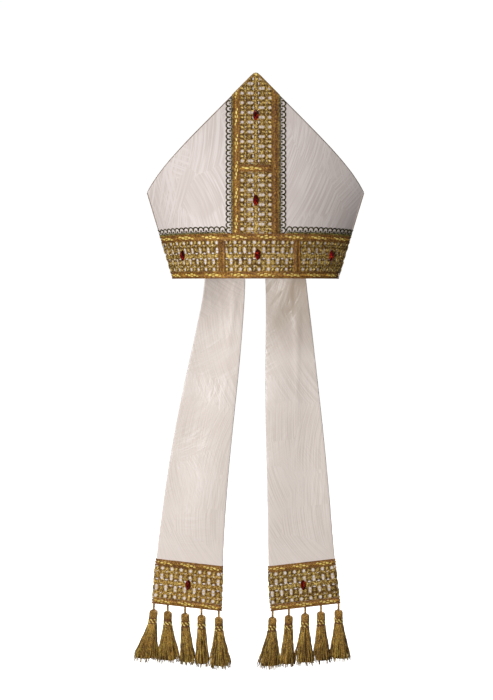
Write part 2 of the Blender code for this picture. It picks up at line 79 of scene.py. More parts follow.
# Panels: two arcs of cloth that meet in a crease at each side, and lean out to the shoulders
RIM_WIDTH = 230 * MM
RIM_DEPTH = 144 * MM
SHOULDER_WIDTH = 301 * MM
SHOULDER_DEPTH = 116 * MM
SHOULDER_HEIGHT = 119 * MM
PEAK_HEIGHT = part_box("front_panel")[1].z
PEAK_BLUNT = 4 * MM
EDGE_HOLLOW = 4.3 * MM
WALL = 2.5 * MM
SEAM_GAP = 0.3 * MM
SEAM_ROUNDING = 3 * MM

# Trims: where they lie on the cloth, and how far out from it
LAYER_GAP = 0.35 * MM
SIDE_GAP = 0.3 * MM
ON_LACE_RISE = 1.25 * MM
TRIM_SETBACK = 0.4 * MM
BAND_HEIGHT = 60.6 * MM
BRAID_WIDTH = 9.4 * MM
UPRIGHT_WIDTH = 62 * MM
UPRIGHT_LACE_REACH = UPRIGHT_WIDTH / 2 - BRAID_WIDTH - SIDE_GAP
UPRIGHT_FOOT = BAND_HEIGHT + SIDE_GAP
CROSSBAR_CLIMB = 149 * MM
DIVIDER_REACH = 51 * MM
DIVIDER_SHIFT = 5 * MM
EDGING_WIDTH = 9.6 * MM
EDGING_START = UPRIGHT_WIDTH / 2 + SIDE_GAP
BAND_EDGING_START = EDGING_START + EDGING_WIDTH + SIDE_GAP

# Stones
STONE_LENGTH = 15 * MM
STONE_WIDTH = 7.5 * MM
STONE_GIRDLE = 1 * MM
STONE_CROWN = 2.4 * MM
STONE_TABLE_SHARE = 0.5
STONE_POINT_SHARPNESS = 0.45
STONE_FLOOR = LAYER_GAP + ON_LACE_RISE
UPRIGHT_STONE_CLIMBS = {"lower": 105.5 * MM, "upper": 221.5 * MM}
BAND_STONE_CLIMB = 32 * MM
BAND_STONE_REACH = 111 * MM
BAND_STONE_SHIFT = 2.3 * MM

# The soft fold between the two panels
FOLD_THICK = 1.2 * MM
FOLD_SETBACK = 1.5 * MM
FOLD_END_SHARE = 0.94
FOLD_SAG = 10 * MM
FOLD_FULLNESS = 1.5
FOLD_WAVES = 3
FOLD_WAVE_DEPTH = 2.5 * MM
FOLD_CREASE = 3.0 * MM

# Lappets, hanging from the inside of the back rim
LAPPET_TUCK = 18 * MM
LAPPET_LENGTH = 480 * MM
LAPPET_WIDTH = 100.5 * MM
LAPPET_THICK = 1.8 * MM
LAPPET_REACH = 44.6 * MM
LAPPET_HANG_DEPTH = 62 * MM
LAPPET_FREE_DROP = 90 * MM
LAPPET_TILT = math.radians(6.6)
LAPPET_BAND_HEIGHT = 66 * MM
# A sleeve of trims round a lappet's end: both its faces, with a half round at each edge
SLEEVE_CAP = math.pi * (LAPPET_THICK / 2 + 1 * MM)
LAPPET_ROUND = 2 * (LAPPET_WIDTH - LAPPET_THICK) + 2 * SLEEVE_CAP
# Down a lappet: drop is a share of its length, width a share of its full width, and the swings
# away from the middle of the hat are shares of its length
LAPPET_STATIONS = (
    {"drop": 0.00, "width": 0.590, "left_swing": 0.000, "right_swing": 0.000},
    {"drop": 0.14, "width": 0.650, "left_swing": 0.015, "right_swing": 0.008},
    {"drop": 0.24, "width": 0.715, "left_swing": 0.027, "right_swing": 0.012},
    {"drop": 0.37, "width": 0.780, "left_swing": 0.049, "right_swing": 0.020},
    {"drop": 0.51, "width": 0.838, "left_swing": 0.071, "right_swing": 0.029},
    {"drop": 0.65, "width": 0.885, "left_swing": 0.086, "right_swing": 0.037},
    {"drop": 0.78, "width": 0.940, "left_swing": 0.100, "right_swing": 0.044},
    {"drop": 0.90, "width": 0.975, "left_swing": 0.110, "right_swing": 0.051},
    {"drop": 1.00, "width": 1.000, "left_swing": 0.115, "right_swing": 0.061},
)
STATION_CURVE_DEGREE = 5

# Tassels
TASSEL_LENGTH = 83 * MM
TASSEL_CORD_RADIUS = 1.3 * MM
TASSEL_HEAD_RADIUS = 5.5 * MM
TASSEL_COLLAR_RADIUS = 6.1 * MM
TASSEL_SKIRT_DEPTH = 24 * MM
# Down a tassel: drop is a share of its length, cord, head, collar and skirt are shares of those
# radii that add up to the form there, and swing is the share of its lean that is taken up there
TASSEL_PROFILE = (
    {"drop": 0.000, "cord": 1.0, "head": 0.00, "collar": 0.0, "skirt": 0.00, "swing": 0.00},
    {"drop": 0.115, "cord": 1.0, "head": 0.00, "collar": 0.0, "skirt": 0.00, "swing": 0.03},
    {"drop": 0.145, "cord": 0.0, "head": 0.90, "collar": 0.0, "skirt": 0.00, "swing": 0.04},
    {"drop": 0.220, "cord": 0.0, "head": 1.00, "collar": 0.0, "skirt": 0.00, "swing": 0.08},
    {"drop": 0.230, "cord": 0.0, "head": 0.00, "collar": 1.0, "skirt": 0.00, "swing": 0.10},
    {"drop": 0.360, "cord": 0.0, "head": 0.00, "collar": 1.0, "skirt": 0.00, "swing": 0.18},
    {"drop": 0.375, "cord": 0.0, "head": 0.92, "collar": 0.0, "skirt": 0.08, "swing": 0.20},
    {"drop": 0.520, "cord": 0.0, "head": 0.80, "collar": 0.0, "skirt": 0.26, "swing": 0.36},
    {"drop": 0.680, "cord": 0.0, "head": 0.45, "collar": 0.0, "skirt": 0.58, "swing": 0.58},
    {"drop": 0.840, "cord": 0.0, "head": 0.15, "collar": 0.0, "skirt": 0.88, "swing": 0.80},
    {"drop": 1.000, "cord": 0.0, "head": 0.00, "collar": 0.0, "skirt": 1.00, "swing": 1.00},
)
# place is a share of the lappet's end from its left corner; middle is how far the foot of the
# skirt lies to the right of its cord, and spread how wide it is, both as shares of the spacing
TASSELS = {
    "left": (
        {"place": 0.020, "middle": -0.55, "spread": 1.33},
        {"place": 0.220, "middle": 0.00, "spread": 1.26},
        {"place": 0.472, "middle": 0.15, "spread": 0.84},
        {"place": 0.712, "middle": 0.03, "spread": 0.75},
        {"place": 0.963, "middle": 0.08, "spread": 1.18},
    ),
    "right": (
        {"place": 0.020, "middle": -0.20, "spread": 1.25},
        {"place": 0.257, "middle": -0.12, "spread": 0.78},
        {"place": 0.496, "middle": -0.09, "spread": 1.09},
        {"place": 0.724, "middle": 0.06, "spread": 0.95},
        {"place": 0.980, "middle": 0.09, "spread": 1.12},
    ),
}
TASSEL_SPACING = LAPPET_WIDTH / (len(TASSELS["left"]) - 1)

FRONT, BACK = 1, -1
SIDES = {"front": FRONT, "back": BACK}
HANDS = {"left": -1, "right": 1}

# How finely cloth is divided, and the steps that slopes are measured with
PANEL_COLUMNS = 120
PANEL_ROWS = 40
FOLD_COLUMNS = 120
FOLD_ROWS = 36
LAPPET_COLUMNS = 24
LAPPET_ROWS = 130
CURVE_SAMPLES = 181
PROBE = 0.05 * MM
SHARE_PROBE = 0.001


# The surfaces of the hat. Each takes arrays of places and returns points, one to a row

def unit(vectors):
    return vectors / np.linalg.norm(vectors, axis=-1, keepdims=True)


def points_at(x, y, z):
    """Points from their coordinates, each an array or one value for all of them."""
    return np.stack(np.broadcast_arrays(x, y, z), axis=-1)


def smooth(share):
    share = np.clip(share, 0, 1)
    return share * share * (3 - 2 * share)


def arc(width, depth):
    """A panel's arc at one level: its radius, the angle from its middle to its seam, and how far
    its middle stands in front of the seams."""
    half, bow = width / 2, depth / 2
    radius = (half**2 + bow**2) / (2 * bow)
    return {"radius": radius, "turn": math.asin(half / radius), "bow": bow}


RIM = arc(RIM_WIDTH, RIM_DEPTH)
SHOULDER = arc(SHOULDER_WIDTH, SHOULDER_DEPTH)


def arc_points(level, share, height):
    turn = share * level["turn"]
    y = level["radius"] * (1 - np.cos(turn)) - level["bow"]
    return points_at(level["radius"] * np.sin(turn), y, height)


def cloth_points(share, climb):
    """Places on the front panel's outer face, at shares of its half girth and climbs up it."""
    foot = arc_points(RIM, share, 0)
    rise = arc_points(SHOULDER, share, SHOULDER_HEIGHT) - foot
    return foot + unit(rise) * np.asarray(climb)[..., None]


def half_girth(climb):
    """The cloth from the middle of a panel to its seam line, at a climb up the cloth."""
    rim, shoulder = RIM["radius"] * RIM["turn"], SHOULDER["radius"] * SHOULDER["turn"]
    return rim + (shoulder - rim) * climb / SHOULDER_HEIGHT


def climb_of(height, share):
    foot, above = cloth_points(np.full(2, float(share)), np.array((0.0, 1.0)))
    return height / (above - foot)[2]


SHOULDER_CLIMB = climb_of(SHOULDER_HEIGHT, 1)
PEAK_CLIMB = climb_of(PEAK_HEIGHT, 0)


def edge_reach(climb):
    """Half the width of a panel's cloth above the shoulders, where its sloping edges are."""
    rise = np.minimum((climb - SHOULDER_CLIMB) / (PEAK_CLIMB - SHOULDER_CLIMB), 1)
    straight = half_girth(SHOULDER_CLIMB) * (1 - rise) + PEAK_BLUNT / 2 * rise
    return straight - EDGE_HOLLOW * np.sin(math.pi * rise)


def edge_climb(across):
    """How far up the sloping edge is at a distance from the middle line."""
    climbs = np.linspace(PEAK_CLIMB, SHOULDER_CLIMB, CURVE_SAMPLES)
    return np.interp(np.abs(across), edge_reach(climbs), climbs)


def on_panel(share, climb, out, side=FRONT):
    """Points at a distance out from a panel. Near a side seam, out turns to the side."""
    along = cloth_points(share + SHARE_PROBE, climb) - cloth_points(share - SHARE_PROBE, climb)
    up = cloth_points(share, climb + PROBE) - cloth_points(share, climb)
    normal = unit(np.cross(along, up))
    to_seam = (1 - np.abs(share)) * half_girth(climb)
    turned = smooth(1 - to_seam / SEAM_ROUNDING)[..., None]
    normal = unit(normal * (1 - turned * np.array((0, 1, 0))))
    points = cloth_points(share, climb) + normal * np.asarray(out)[..., None]
    points[..., :2] *= side
    return points


def on_front(across, climb, out):
    return on_panel(across / half_girth(climb), climb, out, FRONT)


def on_back(across, climb, out):
    return on_panel(across / half_girth(climb), climb, out, BACK)


ON_SIDE = {"front": on_front, "back": on_back}


def round_hat(along, climb, out):
    """Points on a strip that goes round the hat, from the middle of the back round by the left.
    Along runs over four half girths of the band."""
    quarters = along / half_girth(BAND_HEIGHT / 2)
    front = on_panel(np.clip(quarters - 2, -1, 1), climb, out, FRONT)
    left = on_panel(np.clip(quarters, 0, 1), climb, out, BACK)
    right = on_panel(np.clip(quarters - 4, -1, 1), climb, out, BACK)
    front[quarters < 1] = left[quarters < 1]
    front[quarters > 3] = right[quarters > 3]
    return front


BAND_ROUND = 4 * half_girth(BAND_HEIGHT / 2)


def station_curve(column):
    drops = [station["drop"] for station in LAPPET_STATIONS]
    values = [station[column] for station in LAPPET_STATIONS]
    return np.polynomial.Polynomial.fit(drops, values, STATION_CURVE_DEGREE)


LAPPET_CURVES = {column: station_curve(column) for column in ("width", "left_swing", "right_swing")}


def lappet_width(drop):
    return LAPPET_WIDTH * LAPPET_CURVES["width"](np.clip(drop / LAPPET_LENGTH, 0, 1))


def lappet_face(label, share, drop):
    """Points on a lappet's back face, at a share of its half width and a drop below the rim.
    Inside the rim it follows the back panel, and below it settles into a flat hanging sheet."""
    hand = HANDS[label]
    below = np.clip(drop / LAPPET_LENGTH, 0, 1)
    swing = LAPPET_CURVES[f"{label}_swing"](below) - LAPPET_CURVES[f"{label}_swing"](0)
    middle = hand * (LAPPET_REACH + LAPPET_LENGTH * swing)
    slope = hand * np.tan(LAPPET_TILT * smooth(2 * below))
    rim_x = hand * LAPPET_REACH + share * lappet_width(0) / 2
    rim_share = -np.arcsin(rim_x / RIM["radius"]) / RIM["turn"]
    rim = on_panel(rim_share, np.maximum(-drop, 0), np.full_like(share, -WALL - LAYER_GAP), BACK)
    settled = smooth(drop / LAPPET_FREE_DROP)
    sideways = share * lappet_width(drop) / 2
    x = middle + sideways + (rim[..., 0] - rim_x) * (1 - settled)
    y = rim[..., 1] + (LAPPET_HANG_DEPTH - rim[..., 1]) * settled
    z = rim[..., 2] * (1 - settled) - drop + sideways * slope
    return np.where((drop < 0)[..., None], rim, points_at(x, y, z))


def lappet_frame(label, share, drop):
    """Points on a lappet's back face, with the directions to its right and to its front."""
    point = lappet_face(label, share, drop)
    right = lappet_face(label, share + SHARE_PROBE, drop) - point
    down = lappet_face(label, share, drop + PROBE) - point
    return point, unit(right), unit(np.cross(down, right))


def on_lappet(label, across, down, out):
    """Points on a lappet. Out is measured forward from its back face, and down is negative."""
    share = across / (lappet_width(-down) / 2)
    point, _, front = lappet_frame(label, share, -down)
    return point + front * out[..., None]


def round_lappet(label, along, down, out):
    """Points on a sleeve round a lappet's end: along its front face from left to right, round
    the edge, back along its back face, and round the other edge."""
    reach = LAPPET_WIDTH / 2 - LAPPET_THICK / 2
    face, cap = 2 * reach, SLEEVE_CAP
    along = along % LAPPET_ROUND
    turns = np.clip((along - face) / cap, 0, 1) + np.clip((along - 2 * face - cap) / cap, 0, 1)
    across = np.where(along < face + cap / 2, np.minimum(along, face),
                      face - np.clip(along - face - cap, 0, face)) - reach
    share = across / (LAPPET_WIDTH / 2)
    point, right, front = lappet_frame(label, share, -down)
    lift = np.cos(math.pi * turns)[..., None] * front + np.sin(math.pi * turns)[..., None] * right
    return point + front * LAPPET_THICK / 2 + lift * (LAPPET_THICK / 2 + out)[..., None]


ROUND_LAPPET = {label: functools.partial(round_lappet, label) for label in HANDS}


# Making shapes

def shape(bm, finish=0):
    """A bmesh made a mesh, with outward faces, smooth, and one of its piece's finishes on it."""
    bmesh.ops.recalc_face_normals(bm, faces=bm.faces[:])
    for face in bm.faces:
        face.material_index = finish
        face.smooth = True
    mesh = bpy.data.meshes.new("shape")
    bm.to_mesh(mesh)
    bm.free()
    return mesh


def gathered(placed):
    """One mesh from several shapes, each paired with the matrix that places it."""
    bm = bmesh.new()
    for mesh, matrix in placed:
        copy = mesh.copy()
        copy.transform(matrix)
        bm.from_mesh(copy)
        bpy.data.meshes.remove(copy)
    mesh = bpy.data.meshes.new("shape")
    bm.to_mesh(mesh)
    bm.free()
    return mesh


def moved(x=0.0, y=0.0, z=0.0, turn=0.0):
    return Matrix.Translation((x, y, z)) @ Matrix.Rotation(turn, 4, "Z")


def in_place(mesh):
    return mesh, Matrix.Identity(4)


def repeated(mesh, count, step):
    return gathered([(mesh, moved(x=step * number)) for number in range(count)])


def co_of(mesh):
    flat = np.empty(len(mesh.vertices) * 3, dtype=np.float32)
    mesh.vertices.foreach_get("co", flat)
    return flat.reshape(-1, 3).astype(float)


def set_co(mesh, points):
    mesh.vertices.foreach_set("co", np.ascontiguousarray(points, dtype=np.float32).ravel())
    mesh.update()


def shifted(mesh, x=0.0, y=0.0, z=0.0):
    set_co(mesh, co_of(mesh) + (x, y, z))
    return mesh


def drawn_out(mesh, share):
    """A strip made longer along X, or shorter."""
    set_co(mesh, co_of(mesh) * (share, 1, 1))
    return mesh


def corners_of(mesh):
    """The vertex at each corner of the mesh's faces, in the order of a UV map."""
    corners = np.empty(len(mesh.loops), dtype=np.int32)
    mesh.loops.foreach_get("vertex_index", corners)
    return corners


def plate(columns, rows, low, high, finish=0):
    """A flat piece with its vertices at the columns and rows, thick from one level to another."""
    bm = bmesh.new()
    bmesh.ops.create_grid(bm, x_segments=len(columns) - 1, y_segments=len(rows) - 1, size=1)
    for vert in bm.verts:
        column = round((vert.co.x + 1) / 2 * (len(columns) - 1))
        row = round((vert.co.y + 1) / 2 * (len(rows) - 1))
        vert.co = (columns[column], rows[row], low)
    thicken(bm, high - low)
    return shape(bm, finish)


def thicken(bm, thick, rounding=0.0):
    """Gives flat cloth its thickness, with the edges of its rim rounded, or left sharp."""
    grown = bmesh.ops.extrude_face_region(bm, geom=bm.faces[:])["geom"]
    verts = [item for item in grown if isinstance(item, bmesh.types.BMVert)]
    bmesh.ops.translate(bm, vec=(0, 0, thick), verts=verts)
    if rounding > 0:
        bmesh.ops.recalc_face_normals(bm, faces=bm.faces[:])
        corners = [edge for edge in bm.edges if edge.calc_face_angle(0) > math.radians(60)
                   and math.isclose(edge.verts[0].co.z, edge.verts[1].co.z)]
        bmesh.ops.bevel(bm, geom=corners, offset=rounding, segments=2, profile=0.5, affect="EDGES",
                        material=-1, clamp_overlap=True)


def thread(route, radius, finish=0, flat=1.0, sides=6, up=(0, 0, 1)):
    """A thread along a route of points: a grid rolled into a tube, its seam welded and its ends
    filled. The radius is one length, or one for each point, and flat squashes it along up."""
    route = np.asarray(route, dtype=float)
    bm = bmesh.new()
    bmesh.ops.create_grid(bm, x_segments=sides, y_segments=len(route) - 1, size=1)
    run = unit(np.gradient(route, axis=0))
    side = unit(np.cross(run, up))
    over = np.cross(side, run) * flat
    radii = np.broadcast_to(radius, len(route))
    for vert in bm.verts:
        ring = round((vert.co.y + 1) / 2 * (len(route) - 1))
        turn = math.pi * vert.co.x
        around = math.sin(turn) * side[ring] - math.cos(turn) * over[ring]
        vert.co = route[ring] + around * radii[ring]
    bmesh.ops.remove_doubles(bm, verts=bm.verts[:], dist=0.02 * MM)
    ends = [edge for edge in bm.edges if edge.is_boundary]
    bmesh.ops.holes_fill(bm, edges=ends, sides=0)
    return shape(bm, finish)


def ring_thread(half_along, half_across, radius, finish=0, flat=0.95, steps=14, sides=5):
    """A thread closed in an oval: a circle spun round, then drawn out to the oval."""
    bm = bmesh.new()
    reach = (half_along + half_across) / 2
    circle = bmesh.ops.create_circle(bm, segments=sides, radius=radius)["verts"]
    bmesh.ops.rotate(bm, cent=(0, 0, 0), matrix=Matrix.Rotation(math.pi / 2, 3, "X"), verts=circle)
    bmesh.ops.translate(bm, vec=(reach, 0, 0), verts=circle)
    bmesh.ops.spin(bm, geom=bm.verts[:] + bm.edges[:], cent=(0, 0, 0), axis=(0, 0, 1), angle=math.tau,
                   steps=steps, use_merge=True)
    bmesh.ops.remove_doubles(bm, verts=bm.verts[:], dist=0.01 * MM)
    bmesh.ops.scale(bm, vec=(half_along / reach, half_across / reach, flat), verts=bm.verts)
    return shape(bm, finish)


def bead(half_along, half_across, half_out, finish=0, sides=8, rings=5):
    bm = bmesh.new()
    bmesh.ops.create_uvsphere(bm, u_segments=sides, v_segments=rings, radius=1)
    bmesh.ops.scale(bm, vec=(half_along, half_across, half_out), verts=bm.verts)
    return shape(bm, finish)


def cut_off(mesh, point, outward):
    """Cuts away what lies beyond a line on a flat piece, and closes the ends of its threads."""
    bm = bmesh.new()
    bm.from_mesh(mesh)
    geom = bm.verts[:] + bm.edges[:] + bm.faces[:]
    bmesh.ops.bisect_plane(bm, geom=geom, dist=0.001 * MM, plane_co=point, plane_no=outward,
                           clear_outer=True)
    bmesh.ops.holes_fill(bm, edges=[edge for edge in bm.edges if edge.is_boundary], sides=0)
    bm.to_mesh(mesh)
    bm.free()
    return mesh


def finished(name, mesh, finishes, slot, *nodes):
    """The piece as an object in its place, which rides on the hat and stands for its CAD nodes."""
    mesh.name = name
    for finish in finishes:
        mesh.materials.append(finish_named(finish))
    piece = bpy.data.objects.new(name, mesh)
    bpy.context.scene.collection.objects.link(piece)
    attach(piece, "root")
    if nodes:
        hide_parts(*nodes)
    return piece


def sewn(name, mesh, place, finishes, slot, *nodes):
    """A flat piece laid on the surface that place gives. Its flat places stay as its UV map."""
    flat = co_of(mesh)
    chart = mesh.uv_layers.new(name="flat")
    chart.data.foreach_set("uv", flat[corners_of(mesh), :2].astype(np.float32).ravel())
    set_co(mesh, place(flat[:, 0], flat[:, 1], flat[:, 2]))
    return finished(name, mesh, finishes, slot, *nodes)


def dressed(node, part, mesh, place, finishes, slot):
    """A flat piece laid on its surface, which stands for one CAD node and has that node's name
    with the name of the part after it."""
    return sewn(f"{node}_{part}", mesh, place, finishes, slot, node)


# Finishes

def finish_named(name):
    made = bpy.data.materials.get(name)
    if made is None:
        raise RuntimeError(f"there is no finish named {name}")
    return made


def new_finish(name, roughness, metallic=0.0, **sockets):
    """Makes a material, and gives its node tree to work in and its own Principled shader."""
    made = bpy.data.materials.new(name)
    made.use_nodes = True
    shader = made.node_tree.nodes["Principled BSDF"]
    shader.inputs["Roughness"].default_value = roughness
    shader.inputs["Metallic"].default_value = metallic
    for socket, value in sockets.items():
        shader.inputs[socket.replace("_", " ")].default_value = value
    return made.node_tree, shader


def add_node(tree, kind, inputs=(), **settings):
    """A node with its settings. Its inputs are pairs of a socket and a value or another socket."""
    made = tree.nodes.new(kind)
    for setting, value in settings.items():
        setattr(made, setting, value)
    for socket, value in inputs:
        if isinstance(value, bpy.types.NodeSocket):
            tree.links.new(value, made.inputs[socket])
        else:
            made.inputs[socket].default_value = value
    return made


def reckon(tree, operation, first, second=0.0, third=0.0):
    inputs = ((0, first), (1, second), (2, third))
    return add_node(tree, "ShaderNodeMath", inputs, operation=operation).outputs[0]


def arrow(tree, operation, first, second=(0, 0, 0)):
    inputs = ((0, first), (1, second))
    return add_node(tree, "ShaderNodeVectorMath", inputs, operation=operation).outputs[0]


def noise(tree, vector, scale, detail, dimensions="3D", roughness=0.5):
    inputs = (("Vector", vector), ("Scale", scale), ("Detail", detail), ("Roughness", roughness))
    return add_node(tree, "ShaderNodeTexNoise", inputs, noise_dimensions=dimensions).outputs["Fac"]


def flat_noise(tree, flat, scale, detail, roughness=0.5):
    return noise(tree, flat, scale, detail, "2D", roughness)


def flat_places(tree):
    return add_node(tree, "ShaderNodeUVMap", uv_map="flat").outputs[0]


def slanting(tree, flat, slant, wide, high):
    """Places on flat cloth turned by slant and measured in steps of a width and a height, so that
    noise of scale 1 makes slanting streaks of about that size."""
    inputs = (("Vector", flat), ("Rotation", (0, 0, slant)), ("Scale", (wide, high, 1.0)))
    return add_node(tree, "ShaderNodeMapping", inputs, vector_type="TEXTURE").outputs[0]


def ramp(tree, value, *stops):
    """A colour ramp. Each stop is a place and a colour, or a place and a level of grey."""
    made = add_node(tree, "ShaderNodeValToRGB", ((0, value),))
    band = made.color_ramp
    while len(band.elements) < len(stops):
        band.elements.new(1.0)
    for element, (place, color) in zip(band.elements, stops):
        element.position = place
        element.color = (*color, 1) if hasattr(color, "__len__") else (color, color, color, 1)
    return made.outputs[0]


def mixed(tree, share, first, second):
    """The second colour mixed into the first. Each is a colour or a socket."""
    colors = [c if isinstance(c, bpy.types.NodeSocket) else (*c, 1) for c in (first, second)]
    inputs = ((0, share), (6, colors[0]), (7, colors[1]))
    return add_node(tree, "ShaderNodeMix", inputs, data_type="RGBA").outputs[2]


def toned(color, share):
    """A colour made darker or lighter, up to full strength."""
    return tuple(min(c * share, 1) for c in color)


def bands(tree, vector, scale, way, wobble, detail=2.0):
    inputs = (("Vector", vector), ("Scale", scale), ("Distortion", wobble), ("Detail", detail))
    made = add_node(tree, "ShaderNodeTexWave", inputs, wave_type="BANDS", bands_direction=way)
    return made.outputs["Fac"]


def bumped(tree, shader, height, distance):
    inputs = (("Height", height), ("Distance", distance), ("Strength", 1.0))
    made = add_node(tree, "ShaderNodeBump", inputs)
    tree.links.new(made.outputs[0], shader.inputs["Normal"])


def brush_strokes(tree, flat, seed, side, cloth, fine=1.0):
    """Fans of long curved strokes, as a brush leaves them: patches of the cloth each have their
    own far centre, off to one side, and streaks run round it. Fine makes them narrower."""
    spot = arrow(tree, "ADD", flat, (seed * 1.7, seed * 2.3, 0))
    wavy = add_node(tree, "ShaderNodeTexNoise", (("Vector", spot), ("Scale", 7.0), ("Detail", 1.0)),
                    noise_dimensions="2D").outputs["Color"]
    bent = arrow(tree, "ADD", spot, arrow(tree, "MULTIPLY", wavy, (0.09, 0.09, 0)))
    inputs = (("Vector", bent), ("Scale", 1 / cloth.patch_size), ("Randomness", 1.0))
    patch = add_node(tree, "ShaderNodeTexVoronoi", inputs, voronoi_dimensions="2D")
    away = arrow(tree, "SUBTRACT", patch.outputs["Color"], (0.5, 0.5, 0.5))
    away = arrow(tree, "MULTIPLY", away, (0.30, 0.34, 0))
    away = arrow(tree, "ADD", away, (side * 0.24, 0.05, 0))
    centre = arrow(tree, "ADD", patch.outputs["Position"], away)
    spoke = arrow(tree, "SUBTRACT", spot, centre)
    parts = add_node(tree, "ShaderNodeSeparateXYZ", ((0, spoke),))
    reach = add_node(tree, "ShaderNodeVectorMath", ((0, spoke),), operation="LENGTH").outputs["Value"]
    turn = reckon(tree, "ARCTAN2", parts.outputs[1], parts.outputs[0])
    inputs = (("X", reckon(tree, "MULTIPLY", reach, 1 / (cloth.stroke_width * fine))),
              ("Y", reckon(tree, "MULTIPLY", turn, 2.6)))
    streak = add_node(tree, "ShaderNodeCombineXYZ", inputs).outputs[0]
    streak = arrow(tree, "ADD", streak, arrow(tree, "MULTIPLY", patch.outputs["Color"], (40, 40, 0)))
    strokes = flat_noise(tree, streak, 1.0, 2.2, roughness=0.6)
    strokes = ramp(tree, strokes, (0.40, 0.0), (0.50, 0.4), (0.59, 1.0))
    dry = ramp(tree, flat_noise(tree, spot, 16.0, 1.0), (0.30, 0.40), (0.55, 1.0))
    return reckon(tree, "MULTIPLY", strokes, dry)


# The painted shadow of a lappet's soft fold lies in a slanting band. The share of the way across it grows
# by this for each metre to the right and up, from the start
FOLD_SHADOW_BAND = (27.9, -14.0, 0.0)
FOLD_SHADOW_BAND_START = 0.065


def painted_shade_below_rim(tree, flat, crease_shade_strength, slant, shadow):
    """How much painted shade darkens cloth that hangs from the rim: painted shade in creases that lean
    over to the right by slant just below the rim, and the painted shadow of a soft fold that runs down
    from the right."""
    up = add_node(tree, "ShaderNodeSeparateXYZ", ((0, flat),)).outputs[1]
    near = ramp(tree, reckon(tree, "MULTIPLY_ADD", up, 11.0, 1.0), (0.0, 0.0), (0.8, 1.0))
    streaks = flat_noise(tree, slanting(tree, flat, -slant, 1 / 130, 1 / 16), 1.0, 1.5)
    creases = ramp(tree, streaks, (0.47, 0.0), (0.62, 1.0))
    dark = reckon(tree, "MULTIPLY", reckon(tree, "MULTIPLY", near, creases), crease_shade_strength)
    if shadow > 0:
        inputs = ((0, flat), (1, FOLD_SHADOW_BAND))
        beside = add_node(tree, "ShaderNodeVectorMath", inputs, operation="DOT_PRODUCT").outputs["Value"]
        beside = reckon(tree, "SUBTRACT", beside, FOLD_SHADOW_BAND_START)
        fold = ramp(tree, beside, (0.0, 0.6), (0.35, 1.0), (0.7, 1.0), (1.0, 0.8))
        reach = ramp(tree, reckon(tree, "MULTIPLY_ADD", up, 8.5, 1.0), (0.0, 0.0), (0.6, 1.0))
        fold = reckon(tree, "MULTIPLY", reckon(tree, "MULTIPLY", fold, reach), shadow)
        dark = reckon(tree, "MAXIMUM", dark, fold)
    return dark


def make_damask(name, cloth, ground_color, shade_color, strength, lining=0.0, creases=None):
    """White damask: satin strokes, as a broad brush leaves, on a duller ground, in a fine weave.
    Lining is how much fine dark lines show. Creases are how dark the painted shade in the creases below
    the rim is and how they slant, and how dark the painted shadow there is."""
    tree, shader = new_finish(name, 0.5, Sheen_Weight=0.12, Sheen_Roughness=0.45)
    flat = flat_places(tree)
    first = brush_strokes(tree, flat, 1.0, -1, cloth)
    second = brush_strokes(tree, flat, 5.0, 1, cloth)
    crossed = ramp(tree, flat_noise(tree, flat, 11.0, 0.0), (0.50, 0.0), (0.54, 0.9))
    strokes = reckon(tree, "MAXIMUM", first, reckon(tree, "MULTIPLY", second, crossed))
    soft = ramp(tree, flat_noise(tree, flat, 9.0, 2.0), (0.3, 0.0), (0.7, 1.0))
    ground = mixed(tree, soft, ground_color, shade_color)
    color = mixed(tree, reckon(tree, "MULTIPLY", strokes, strength), ground, cloth.stroke_color)
    if lining > 0:
        lines = brush_strokes(tree, flat, 9.0, 1, cloth, fine=0.6)
        color = mixed(tree, reckon(tree, "MULTIPLY", lines, lining), color, cloth.line_and_crease_shade_color)
    if creases:
        # Painted shade: creases below the rim and the shadow of a fold darken the cloth
        color = mixed(tree, painted_shade_below_rim(tree, flat, *creases), color, cloth.line_and_crease_shade_color)
    tree.links.new(color, shader.inputs["Base Color"])
    rough = reckon(tree, "SUBTRACT", 0.62, reckon(tree, "MULTIPLY", strokes, 0.22))
    tree.links.new(rough, shader.inputs["Roughness"])
    warp, weft = bands(tree, flat, 60.0, "X", 0.6), bands(tree, flat, 75.0, "Y", 0.6)
    weave = reckon(tree, "MULTIPLY", reckon(tree, "MULTIPLY", warp, weft), 0.25)
    bumped(tree, shader, reckon(tree, "ADD", strokes, weave), cloth.stroke_relief)


def make_soft_cloth(name, color, shade_color):
    """Plain soft satin, crumpled a little, with painted shade in the low places of its crumples."""
    tree, shader = new_finish(name, 0.5, Sheen_Weight=0.15, Sheen_Roughness=0.4)
    flat = flat_places(tree)
    crumpled = flat_noise(tree, slanting(tree, flat, 0.35, 1 / 13, 1 / 38), 1.0, 2.5)
    weave = flat_noise(tree, flat, 900.0, 1.0)
    # Painted shade: the low places of the crumples take the darker colour
    tree.links.new(ramp(tree, crumpled, (0.30, shade_color), (0.62, color)), shader.inputs["Base Color"])
    bumped(tree, shader, reckon(tree, "MULTIPLY_ADD", weave, 0.02, crumpled), 9 * MM)


PLIES_SCALE = 450
FLECK_SIZE = 2.2 * MM


